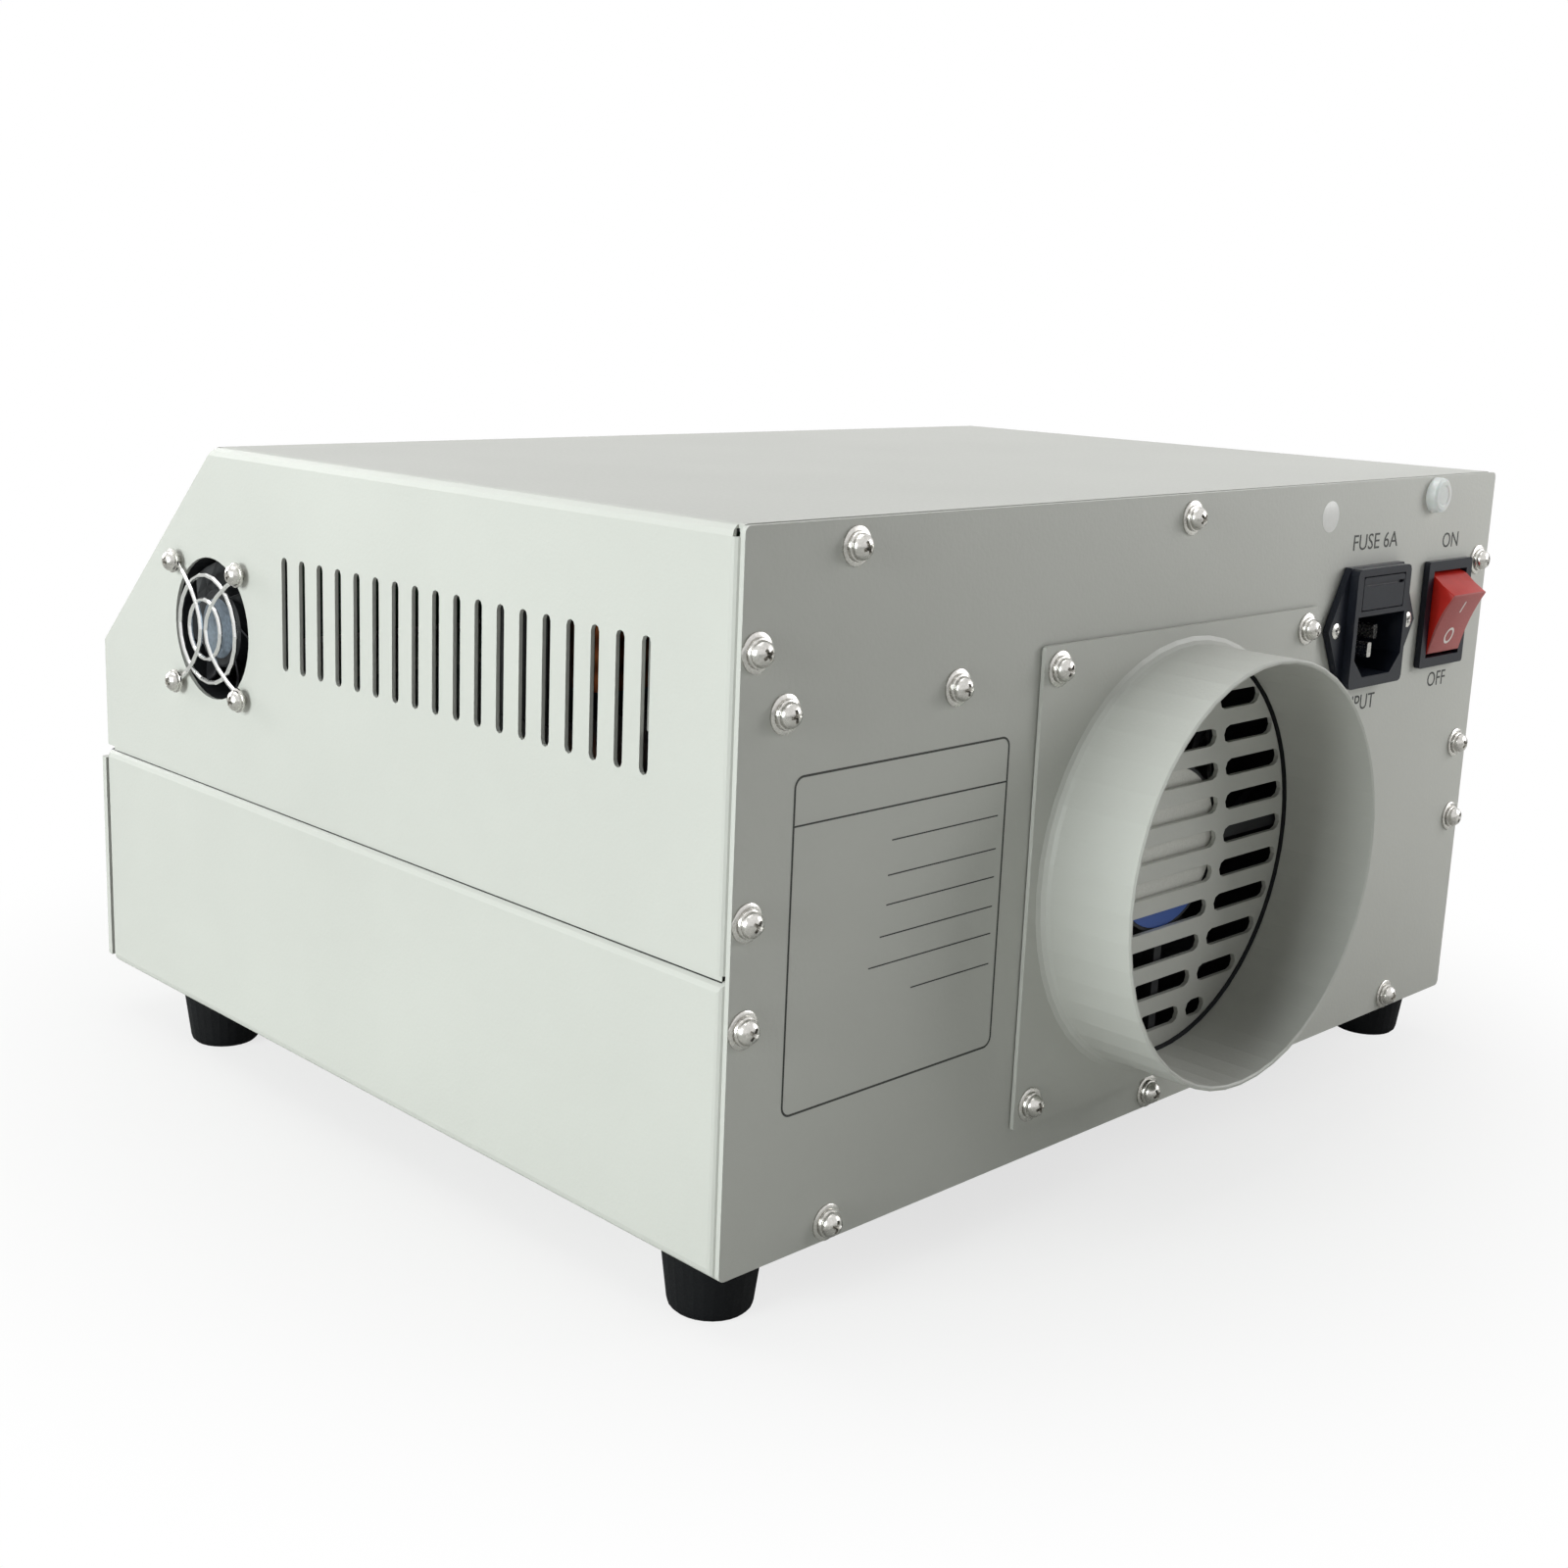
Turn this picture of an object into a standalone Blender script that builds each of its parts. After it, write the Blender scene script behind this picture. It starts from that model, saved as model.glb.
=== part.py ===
"""Benchtop infrared reflow oven: a sheet-metal case with a pull-out drawer and an exhaust duct.

Every piece hangs on the case datum, an empty at the foot of the rear panel's outer face:
+X is the oven's right side seen from the front, +Y points out of the rear, +Z is up.
"""

import math

import bmesh
import bpy
from mathutils import Matrix, Vector

# Fits
FIT = 0.0003
CUT = 0.002

# Case
BODY_WIDTH = 0.304
BODY_DEPTH = 0.262
BODY_HEIGHT = 0.157
SHEET = 0.0012
BEND_RADIUS = 0.0025
SEAM_HEIGHT = 0.0652
SEAM_GAP = 0.0012
LIP_TOP = 0.0973
SLOPE_RUN = 0.0636
LOWER_LIP = 0.008
REAR_FLANGE = 0.012
REAR_FLANGE_BOTTOM = 0.007
REAR_BEND_RADIUS = 0.0018
BEND_RELIEF = 0.0016
REAR_PANEL_INSET = 0.0004
REAR_PANEL_CORNER = 0.0015
PANEL_LIP_NOTCH = 0.0088

# Ventilation slots in both sides
VENT_COUNT = 18
VENT_PITCH = 0.00807
VENT_WIDTH = 0.0027
VENT_LENGTH = 0.029
VENT_BOTTOM = 0.103
FIRST_VENT_FROM_FRONT = 0.0977

# Feet
FOOT_HEIGHT = 0.015
FOOT_TOP_RADIUS = 0.0112
FOOT_BOTTOM_RADIUS = 0.0096
FOOT_SIDE_INSET = 0.0135
FOOT_REAR_INSET = 0.016
FOOT_FRONT_INSET = 0.040

# Exhaust duct, and the slotted grille behind it
DUCT_OFF_GRILLE_X = 0.0008
DUCT_OFF_GRILLE_Z = -0.0010
DUCT_OUTER_RADIUS = 0.0532
DUCT_WALL = 0.0012
DUCT_STAND_OUT = 0.0262
DUCT_FLANGE_SIDE = 0.116
DUCT_FLANGE_CORNER = 0.0008
DUCT_FLANGE_SHEET = 0.001
DUCT_FILLET = 0.0025
DUCT_FROM_INLET = 0.0042
GRILLE_Z = 0.068
GRILLE_RADIUS = 0.0494
GRILLE_ROWS = 11
GRILLE_PITCH = 0.009
GRILLE_SLOT_HEIGHT = 0.0046
GRILLE_WEB = 0.0033
GRILLE_WEB_OFFSET = 0.021
GRILLE_WEB_RADIUS = 0.102

# Exhaust fan and the bracket that clamps it
FAN_SIDE = 0.120
FAN_DEPTH = 0.025
FAN_BORE_RADIUS = 0.0572
FAN_HUB_RADIUS = 0.0215
FAN_HOLE_SPACING = 0.105
FAN_SCREW_HOLE_RADIUS = 0.00215
FAN_BLADES = 7
BRACKET_SHEET = 0.0012
BRACKET_ARM_BOTTOM = 0.112
BRACKET_ARM_TOP = 0.135

# Cooling fan in the right side
SMALL_FAN_SIDE = 0.040
SMALL_FAN_DEPTH = 0.010
SMALL_FAN_BORE_RADIUS = 0.0189
SMALL_FAN_HUB_RADIUS = 0.0105
SMALL_FAN_HOLE_SPACING = 0.032
SMALL_FAN_SCREW_HOLE_RADIUS = 0.0016
SMALL_FAN_BLADES = 7
SMALL_FAN_FROM_FRONT = 0.0609
SMALL_FAN_Z = 0.1088
GUARD_WIRE_RADIUS = 0.0006
GUARD_OUTER_RING = 0.0143
GUARD_OUTER_RISE = 0.0002
GUARD_INNER_RING = 0.0079
GUARD_INNER_RISE = 0.0009
GUARD_WIRE_BOW = 0.0013
GUARD_WIRE_RISE = 0.0014
GUARD_WIRE_SINK = 0.0001

# Blades and struts of both fans, as shares of a fan's own size
FRAME_CORNER = 0.04
MOTOR_PLATE = 0.16
MOTOR_SINK = 0.01
STRUT_HALF_WIDTH = 0.07
STRUT_REACH = 0.4
SHAFT = 0.10
SHAFT_SEAT = 0.45
HUB_EDGE = 0.06
HUB_BACK = 0.06
BLADE_SPAN = math.radians(300)
BLADE_LEAN = 0.35
BLADE_TIP_CHORD = 0.75
BLADE_TIP_PITCH = 0.7
BLADE_WALL = 0.01
BLADE_TIP_GAP = 0.012

# Mains inlet with its fuse drawer
INLET_FROM_SWITCH = 0.00655
INLET_FROM_TOP = 0.0392
INLET_TIP_TO_TIP = 0.0454
INLET_HEIGHT = 0.033
INLET_TOP_WIDTH = 0.0278
INLET_FLANGE = 0.0022
INLET_BLOCK_WIDTH = 0.028
INLET_BLOCK_STAND_OUT = 0.0046
INLET_BODY_WIDTH = 0.0268
INLET_BODY_HEIGHT = 0.0316
INLET_BODY_DEPTH = 0.024
SOCKET_WIDTH = 0.0244
SOCKET_BOTTOM = -0.0133
SOCKET_TOP = 0.0034
SOCKET_DEPTH = 0.0175
SOCKET_CHAMFER = 0.005
PIN_WIDTH = 0.002
PIN_HEIGHT = 0.004
PIN_SPREAD = 0.007
PIN_ROW_Z = -0.0027
EARTH_PIN_Z = -0.0068
PIN_RECESS = 0.0052
EARTH_PIN_RECESS = 0.0027
PIN_TAIL = 0.006
FUSE_SLOT_WIDTH = 0.022
FUSE_SLOT_BOTTOM = 0.0048
FUSE_SLOT_TOP = 0.0142
FUSE_DRAWER_DEPTH = 0.018
FUSE_GROOVE_WIDTH = 0.0205
FUSE_GROOVE_HEIGHT = 0.0008
FUSE_GROOVE_FROM_TOP = 0.0016
FUSE_FROM_BACK = 0.0064
FUSE_RADIUS = 0.0026
FUSE_LENGTH = 0.0198

# Rocker switch
SWITCH_FROM_SIDE = 0.0252
SWITCH_FROM_TOP = 0.0391
BEZEL_WIDTH = 0.0249
BEZEL_HEIGHT = 0.0304
BEZEL_STAND_OUT = 0.002
SWITCH_OPENING_WIDTH = 0.0190
SWITCH_OPENING_HEIGHT = 0.0248
SWITCH_WALL = 0.0012
SWITCH_BODY_DEPTH = 0.020
ROCKER_WIDTH = 0.0182
ROCKER_PIVOT_DEPTH = 0.0048
ROCKER_TILT = math.radians(15)
ROCKER_FACE = 0.0119
ROCKER_HOLLOW = 0.0007
ROCKER_HALF_LENGTH = 0.0093
ROCKER_SWEEP = 0.0130
ROCKER_WALL_START = 50
ROCKER_WALL_END = 100
ROCKER_AXLE_RADIUS = 0.0012

# Drawer
DRAWER_GAP = 0.0018
DRAWER_FRONT_DEPTH = 0.003
DRAWER_FRONT_BOTTOM = 0.0018
DRAWER_TOP_BELOW_SEAM = 0.0032
DRAWER_TRAVEL = 0.190
WINDOW_WIDTH = 0.168
WINDOW_HEIGHT = 0.030
WINDOW_Z = 0.040
GLASS_THICKNESS = 0.0012
GLASS_OVERLAP = 0.004
HANDLE_WIDTH = 0.110
HANDLE_STAND_OUT = 0.0232
HANDLE_RADIUS = 0.004
HANDLE_CORNER = 0.009
HANDLE_Z = 0.0125
SHIELD_SIDE_GAP = 0.0035
SHIELD_SHEET = 0.0010
TRAY_SIDE_GAP = 0.009
TRAY_LENGTH = 0.188
TRAY_BOTTOM = 0.012
TRAY_HEIGHT = 0.010
TRAY_SHEET = 0.001
TRAY_RIM = 0.012
RACK_SLOT_ROWS = 8
RACK_SLOT_COLUMNS = 3
RACK_BAR = 0.007
SLIDE_HEIGHT = 0.018
SLIDE_WIDTH = 0.010
SLIDE_BOTTOM = 0.028
SLIDE_SHEET = 0.0015
SLIDE_LENGTH = 0.245
SLIDE_PLAY = 0.0005
BAR_THICKNESS = 0.0045
BAR_OVERLAP = 0.045

# Heated chamber
CHAMBER_SIDE_GAP = 0.0125
CHAMBER_FRONT_GAP = 0.004
CHAMBER_REAR_GAP = 0.010
CHAMBER_TOP = 0.084
CHAMBER_SHEET = 0.001
CHAMBER_MOUTH_TOP = 0.062
EXHAUST_PORT_WIDTH = 0.090
EXHAUST_PORT_BOTTOM = 0.026
EXHAUST_PORT_TOP = 0.074
REFLECTOR_Z = 0.0775
RIDGE_HALF_WIDTH = 0.008
RIDGE_DEPTH = 0.002
RIDGE_END_GAP = 0.006
LAMP_COUNT = 4
LAMP_RADIUS = 0.005
LAMP_CAP_RADIUS = 0.006
LAMP_CAP_LENGTH = 0.018
LAMP_END_GAP = 0.005
LAMP_Z = 0.068
LAMP_PITCH = 0.048
FIRST_LAMP_FROM_FRONT = 0.032
HOLDER_FROM_SIDE = 0.0105
HOLDER_SHEET = 0.0015
BLANKET_THICKNESS = 0.006
PROBE_X = -0.100
PROBE_Z = 0.058
PROBE_RADIUS = 0.0015
PROBE_LENGTH = 0.085

# Control panel and what is behind it
BOARD_DEPTH = 0.0125
BOARD_THICKNESS = 0.0016
BOARD_WIDTH = 0.250
BOARD_BOTTOM = 0.012
BOARD_TOP = 0.078
STUD_RADIUS = 0.0025
STUD_INSET = 0.006
SCREEN_X = -0.055
SCREEN_Y = 0.050
SCREEN_WIDTH = 0.076
SCREEN_HEIGHT = 0.044
SCREEN_OVERLAP = 0.002
SCREEN_THICKNESS = 0.001
DISPLAY_WIDTH = 0.093
DISPLAY_HEIGHT = 0.054
KEY_COUNT = 5
KEY_RADIUS = 0.0055
KEY_PITCH = 0.0175
KEY_Y = 0.050
FIRST_KEY_X = 0.021
KEY_STAND_OUT = 0.0018
KEY_TRAVEL = 0.0008
KEY_RIM = 0.0012
KEY_RIM_THICKNESS = 0.001
SNAP_SIDE = 0.006
SNAP_HEIGHT = 0.0035

# Electronics shelf above the chamber
SHELF_Z = 0.0965
SHELF_SIDE_GAP = 0.0045
SHELF_FRONT_FROM_REAR = 0.178
SHELF_REAR_FROM_REAR = 0.045
TRANSFORMER_X = 0.095
TRANSFORMER_Y = -0.110
CORE_WIDTH = 0.050
CORE_HEIGHT = 0.042
CORE_DEPTH = 0.022
CORE_LEG = 0.008
WINDING_OVERHANG = 0.009
RELAY_COUNT = 2
RELAY_SIZE = (0.045, 0.058, 0.023)
FIRST_RELAY_X = -0.045
RELAY_PITCH = 0.062
RELAY_Y = -0.105
RELAY_STEP_LENGTH = 0.0104
RELAY_STEP_SIDE = 0.0036
RELAY_STEP_DEPTH = 0.0087
TERMINAL_X = -0.112
TERMINAL_Y = -0.080
TERMINAL_SIZE = (0.022, 0.056, 0.016)
TERMINAL_WAYS = 6
TERMINAL_WAY_SHARE = 0.6
TERMINAL_WAY_FLOOR = 0.0072

# Places that follow from the sizes above
HALF_WIDTH = BODY_WIDTH / 2
SHELL_REAR = -SHEET - FIT
FRONT_OVERHANG = DRAWER_GAP + DRAWER_FRONT_DEPTH + HANDLE_STAND_OUT
REAR_FACE_Y = (BODY_DEPTH + FRONT_OVERHANG + DUCT_STAND_OUT) / 2 - DUCT_STAND_OUT
SLOPE_RISE = BODY_HEIGHT - LIP_TOP
SLOPE_ANGLE = math.atan2(SLOPE_RISE, SLOPE_RUN)
DRAWER_BACK = -BODY_DEPTH - DRAWER_GAP
DRAWER_FACE = DRAWER_BACK - DRAWER_FRONT_DEPTH
DRAWER_FRONT_TOP = SEAM_HEIGHT - DRAWER_TOP_BELOW_SEAM
SHIELD_BACK = DRAWER_BACK + FIT + SHIELD_SHEET
RUNNER_FRONT = SHIELD_BACK + FIT
FAN_FRONT = SHELL_REAR - FAN_DEPTH
CHAMBER_BACK = FAN_FRONT - BRACKET_SHEET - FIT - CHAMBER_REAR_GAP
CHAMBER_FRONT = -BODY_DEPTH + CHAMBER_FRONT_GAP
CHAMBER_BOTTOM = SHEET + FIT
CHAMBER_HALF = HALF_WIDTH - SHEET - FIT - SLIDE_WIDTH - CHAMBER_SIDE_GAP
CHAMBER_INNER = CHAMBER_HALF - CHAMBER_SHEET
HOLDER_X = CHAMBER_INNER - HOLDER_FROM_SIDE
SWITCH_X = SWITCH_FROM_SIDE - HALF_WIDTH
SWITCH_Z = BODY_HEIGHT - SWITCH_FROM_TOP
INLET_X = SWITCH_X + BEZEL_WIDTH / 2 + INLET_FROM_SWITCH + INLET_TIP_TO_TIP / 2
INLET_Z = BODY_HEIGHT - INLET_FROM_TOP
DUCT_X = INLET_X + INLET_TIP_TO_TIP / 2 + DUCT_FROM_INLET + DUCT_FLANGE_SIDE / 2
DUCT_Z = GRILLE_Z + DUCT_OFF_GRILLE_Z
GRILLE_X = DUCT_X - DUCT_OFF_GRILLE_X
FACING_REAR = (math.radians(-90), 0, 0)
FACING_LEFT = (0, math.radians(-90), 0)
FACING_RIGHT = (0, math.radians(90), 0)
UPRIGHT_ACROSS = (math.radians(90), 0, 0)
UPRIGHT_ALONG = (math.radians(90), 0, math.radians(90))


def clear_scene():
    for obj in list(bpy.data.objects):
        bpy.data.objects.remove(obj, do_unlink=True)


def new_collection(name):
    made = bpy.data.collections.new(name)
    bpy.context.scene.collection.children.link(made)
    return made


def new_empty(name, parent=None, at=(0, 0, 0), turn=(0, 0, 0)):
    empty = bpy.data.objects.new(name, None)
    empty.parent = parent
    empty.location = at
    empty.rotation_euler = turn
    parts.objects.link(empty)
    return empty


def material(name, colour, roughness, metallic=0.0, alpha=1.0):
    made = bpy.data.materials.new(name)
    made.use_nodes = True
    shader = made.node_tree.nodes["Principled BSDF"]
    shader.inputs["Base Color"].default_value = (*colour, 1.0)
    shader.inputs["Roughness"].default_value = roughness
    shader.inputs["Metallic"].default_value = metallic
    shader.inputs["Alpha"].default_value = alpha
    return made


def piece(name, mesh, finish, parent=None, at=(0, 0, 0), turn=(0, 0, 0)):
    """A sub-part of the oven, placed on the case datum or on the given parent."""
    obj = bpy.data.objects.new(name, mesh)
    obj.parent = parent or datum
    obj.location = at
    obj.rotation_euler = turn
    mesh.materials.clear()
    mesh.materials.append(finish)
    mesh.shade_smooth()
    mesh.set_sharp_from_angle(angle=math.radians(35))
    parts.objects.link(obj)
    return obj


def tool(mesh, parent=None, at=(0, 0, 0), turn=(0, 0, 0)):
    """A hidden shape that is cut from a piece or joined to it."""
    obj = bpy.data.objects.new("tool_" + mesh.name, mesh)
    obj.parent = parent or datum
    obj.location = at
    obj.rotation_euler = turn
    obj.hide_render = True
    obj.display_type = "WIRE"
    tools.objects.link(obj)
    return obj


def boolean(obj, other, operation):
    step = obj.modifiers.new(operation.lower(), "BOOLEAN")
    step.operation = operation
    step.solver = "EXACT"
    step.object = other


def cut(obj, *others):
    for other in others:
        boolean(obj, other, "DIFFERENCE")


def join(obj, *others):
    for other in others:
        boolean(obj, other, "UNION")


def rounded(width, height, radius=0.0, steps=4, at=(0, 0)):
    """Outline of a rectangle with round corners, anticlockwise from its lower right."""
    half_x = width / 2 - radius
    half_y = height / 2 - radius
    corners = ((half_x, -half_y, -90), (half_x, half_y, 0), (-half_x, half_y, 90), (-half_x, -half_y, 180))
    points = []
    for x, y, start in corners:
        turns = range(steps + 1) if radius else (0,)
        for step in turns:
            angle = math.radians(start + 90 * step / steps)
            points.append((at[0] + x + radius * math.cos(angle), at[1] + y + radius * math.sin(angle)))
    return [p for i, p in enumerate(points) if math.dist(p, points[i - 1]) > 1e-6]


def circle(radius, steps, at=(0, 0)):
    turns = [2 * math.pi * step / steps for step in range(steps)]
    return [(at[0] + radius * math.cos(turn), at[1] + radius * math.sin(turn)) for turn in turns]


def mesh_of_curve(curve):
    """The closed mesh of a curve, with its loose caps welded on."""
    guide = bpy.data.objects.new(curve.name, curve)
    bpy.context.scene.collection.objects.link(guide)
    bpy.context.view_layer.update()
    evaluated = guide.evaluated_get(bpy.context.evaluated_depsgraph_get())
    mesh = bpy.data.meshes.new_from_object(evaluated)
    bpy.data.objects.remove(guide)
    shape = bmesh.new()
    shape.from_mesh(mesh)
    bmesh.ops.remove_doubles(shape, verts=shape.verts, dist=1e-6)
    bmesh.ops.recalc_face_normals(shape, faces=shape.faces)
    shape.to_mesh(mesh)
    shape.free()
    return mesh


def plate(name, outlines, thickness):
    """A flat sheet: the first outline is its edge, and those inside it are holes."""
    curve = bpy.data.curves.new(name, "CURVE")
    curve.dimensions = "2D"
    curve.fill_mode = "BOTH"
    curve.extrude = thickness / 2
    for outline in outlines:
        spline = curve.splines.new("POLY")
        spline.points.add(len(outline) - 1)
        for point, (x, y) in zip(spline.points, outline):
            point.co = (x, y, 0, 1)
        spline.use_cyclic_u = True
    return mesh_of_curve(curve)


def wire(name, points, radius, resolution=2, closed=False):
    """A round bar along a line of points."""
    curve = bpy.data.curves.new(name, "CURVE")
    curve.dimensions = "3D"
    curve.bevel_depth = radius
    curve.bevel_resolution = resolution
    curve.use_fill_caps = not closed
    spline = curve.splines.new("POLY")
    spline.points.add(len(points) - 1)
    for point, place in zip(spline.points, points):
        point.co = (*place, 1)
    spline.use_cyclic_u = closed
    return mesh_of_curve(curve)


def block(name, low, high, along="", side=(0, 0, 0), radius=0.0, segments=3):
    """A box between two corners. Its edges along an axis, on one side of it, may be rounded."""
    shape = bmesh.new()
    bmesh.ops.create_cube(shape, size=1)
    low, high = Vector(low), Vector(high)
    for vertex in shape.verts:
        share = vertex.co + Vector((0.5, 0.5, 0.5))
        vertex.co = [low[i] + share[i] * (high[i] - low[i]) for i in range(3)]
    if along:
        axis = "XYZ".index(along)
        middle = (low + high) / 2
        chosen = []
        for edge in shape.edges:
            first, second = (vertex.co for vertex in edge.verts)
            runs = abs(first[axis] - second[axis]) > 1e-9
            if runs and ((first + second) / 2 - middle).dot(Vector(side)) >= 0:
                chosen.append(edge)
        bmesh.ops.bevel(
            shape, geom=chosen, offset=radius, offset_type="OFFSET", affect="EDGES",
            segments=segments, profile=0.5, material=-1,
        )
    return finished_mesh(name, shape)


def rod(name, radius, start, end, steps=24):
    """A cylinder on the Z axis between two heights."""
    shape = bmesh.new()
    bmesh.ops.create_cone(
        shape, cap_ends=True, segments=steps, radius1=radius, radius2=radius, depth=end - start,
    )
    bmesh.ops.translate(shape, verts=shape.verts, vec=(0, 0, (start + end) / 2))
    return finished_mesh(name, shape)


def finished_mesh(name, shape):
    mesh = bpy.data.meshes.new(name)
    bmesh.ops.recalc_face_normals(shape, faces=shape.faces)
    shape.to_mesh(mesh)
    shape.free()
    return mesh


def turned(name, profile, closed=False):
    """The line of (radius, height) points that a Screw modifier turns round the Z axis."""
    shape = bmesh.new()
    line = [shape.verts.new((radius, 0, height)) for radius, height in profile]
    for first, second in zip(line, line[1:]):
        shape.edges.new((first, second))
    if closed:
        shape.edges.new((line[-1], line[0]))
    mesh = bpy.data.meshes.new(name)
    shape.to_mesh(mesh)
    shape.free()
    return mesh


def spin(obj, steps):
    screw = obj.modifiers.new("turn", "SCREW")
    screw.axis = "Z"
    screw.steps = steps
    screw.render_steps = steps
    screw.use_merge_vertices = True
    screw.merge_threshold = 0.00001
    return obj


def arc(centre, radius, start, end, steps):
    """Points along a circular arc, with angles in degrees."""
    points = []
    for step in range(steps + 1):
        angle = math.radians(start + (end - start) * step / steps)
        points.append((centre[0] + radius * math.cos(angle), centre[1] + radius * math.sin(angle)))
    return points


def vent_outlines():
    centre_z = VENT_BOTTOM + VENT_LENGTH / 2
    first_y = -BODY_DEPTH + FIRST_VENT_FROM_FRONT
    return [
        rounded(VENT_WIDTH, VENT_LENGTH, VENT_WIDTH / 2, steps=2, at=(first_y + i * VENT_PITCH, centre_z))
        for i in range(VENT_COUNT)
    ]


def base_tray():
    """Lower casing: floor, two sides with inward lips, and a flange for the rear panel."""
    casing = piece(
        "base_tray",
        block(
            "base_tray", (-HALF_WIDTH, -BODY_DEPTH, 0), (HALF_WIDTH, SHELL_REAR, SEAM_HEIGHT),
            along="Y", radius=BEND_RADIUS,
        ),
        PAINT,
    )
    inner = HALF_WIDTH - SHEET
    lip = HALF_WIDTH - LOWER_LIP
    flange = HALF_WIDTH - REAR_FLANGE
    cut(
        casing,
        tool(block(
            "base_inside", (-inner, -BODY_DEPTH - CUT, SHEET), (inner, SHELL_REAR - SHEET, SEAM_HEIGHT - SHEET),
            along="Y", radius=BEND_RADIUS - SHEET,
        )),
        *rear_bends("base"),
        tool(block(
            "base_mouth", (-lip, -BODY_DEPTH - CUT, SEAM_HEIGHT / 2), (lip, SHELL_REAR - SHEET, SEAM_HEIGHT + CUT)
        )),
        tool(block(
            "base_rear", (-flange, SHELL_REAR - CUT, REAR_FLANGE_BOTTOM), (flange, SHELL_REAR + CUT, SEAM_HEIGHT + CUT)
        )),
    )


def rear_bends(name):
    """What is taken off a casing's two upright rear edges, so that the bend there is round outside."""
    outside = SHELL_REAR + CUT
    radius = REAR_BEND_RADIUS
    taken = []
    for side, sign in (("left", -1), ("right", 1)):
        centre = (sign * (HALF_WIDTH - radius), SHELL_REAR - radius)
        bend = arc(centre, radius, 90, 90 - sign * 90, 4)
        corner = [(sign * (HALF_WIDTH + CUT), centre[1]), (sign * (HALF_WIDTH + CUT), outside), (centre[0], outside)]
        mesh = plate(f"{name}_bend_{side}", [bend + corner], 2 * BODY_HEIGHT + 2 * CUT)
        taken.append(tool(mesh))
    return taken


def top_cover():
    """Upper casing: roof and sides in one sheet, cut back at the front for the sloping panel."""
    bottom = SEAM_HEIGHT + SEAM_GAP
    casing = piece(
        "top_cover",
        block(
            "top_cover", (-HALF_WIDTH, -BODY_DEPTH, bottom), (HALF_WIDTH, SHELL_REAR, BODY_HEIGHT),
            along="Y", side=(0, 0, 1), radius=BEND_RADIUS,
        ),
        PAINT,
    )
    inner = HALF_WIDTH - SHEET
    flange = HALF_WIDTH - REAR_FLANGE
    slope_cut = plate("cover_slope", [slope_wedge(0)], BODY_WIDTH + 2 * CUT)
    roof_cut = plate("cover_roof", [slope_wedge(SHEET + FIT)], 2 * inner)
    cut(
        casing,
        tool(block(
            "cover_inside", (-inner, -BODY_DEPTH - CUT, bottom - CUT),
            (inner, SHELL_REAR - SHEET, BODY_HEIGHT - SHEET),
            along="Y", side=(0, 0, 1), radius=BEND_RADIUS - SHEET,
        )),
        tool(slope_cut, turn=UPRIGHT_ALONG),
        tool(roof_cut, turn=UPRIGHT_ALONG),
        tool(block(
            "cover_rear", (-flange, SHELL_REAR - CUT, bottom - CUT),
            (flange, SHELL_REAR + CUT, BODY_HEIGHT - REAR_FLANGE),
        )),
        *rear_bends("cover"),
        *bend_reliefs(),
        tool(plate("cover_vents", vent_outlines(), BODY_WIDTH + 2 * CUT), turn=UPRIGHT_ALONG),
        tool(
            rod("cover_fan_hole", SMALL_FAN_BORE_RADIUS, -SHEET - CUT, CUT, steps=48),
            at=(HALF_WIDTH, -BODY_DEPTH + SMALL_FAN_FROM_FRONT, SMALL_FAN_Z), turn=FACING_RIGHT,
        ),
    )


def bend_reliefs():
    """The small notch at each upper rear corner, where three bends meet."""
    notch = BEND_RELIEF
    for side, sign in (("left", -1), ("right", 1)):
        low_x, high_x = sorted((sign * (HALF_WIDTH - notch), sign * (HALF_WIDTH + CUT)))
        yield tool(block(
            "bend_relief_" + side, (low_x, SHELL_REAR - notch, BODY_HEIGHT - BEND_RADIUS),
            (high_x, SHELL_REAR + CUT, BODY_HEIGHT + CUT),
        ))


def slope_wedge(depth):
    """Outline of all that lies in front of the slope, or of a plane that deep under it."""
    back = depth / math.sin(SLOPE_ANGLE)
    over = CUT / math.tan(SLOPE_ANGLE)
    return [
        (-BODY_DEPTH - CUT, LIP_TOP - (CUT + back) * math.tan(SLOPE_ANGLE)),
        (-BODY_DEPTH + SLOPE_RUN + over + back, BODY_HEIGHT + CUT),
        (-BODY_DEPTH - CUT, BODY_HEIGHT + CUT),
    ]


def grille_outlines():
    """Rows of round-ended slots inside a circle, each row split in three by two curved webs."""
    outlines = []
    half_rows = GRILLE_ROWS // 2
    for row in range(-half_rows, half_rows + 1):
        rise = row * GRILLE_PITCH
        edge = math.sqrt(GRILLE_RADIUS**2 - rise**2)
        web = GRILLE_WEB_OFFSET - GRILLE_WEB_RADIUS + math.sqrt(GRILLE_WEB_RADIUS**2 - rise**2)
        inner = web - GRILLE_WEB / 2
        outer = web + GRILLE_WEB / 2
        for left, right in ((-edge, -outer), (-inner, inner), (outer, edge)):
            centre = (GRILLE_X + (left + right) / 2, GRILLE_Z + rise)
            outlines.append(
                rounded(right - left, GRILLE_SLOT_HEIGHT, GRILLE_SLOT_HEIGHT / 2, steps=2, at=centre)
            )
    return outlines


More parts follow.
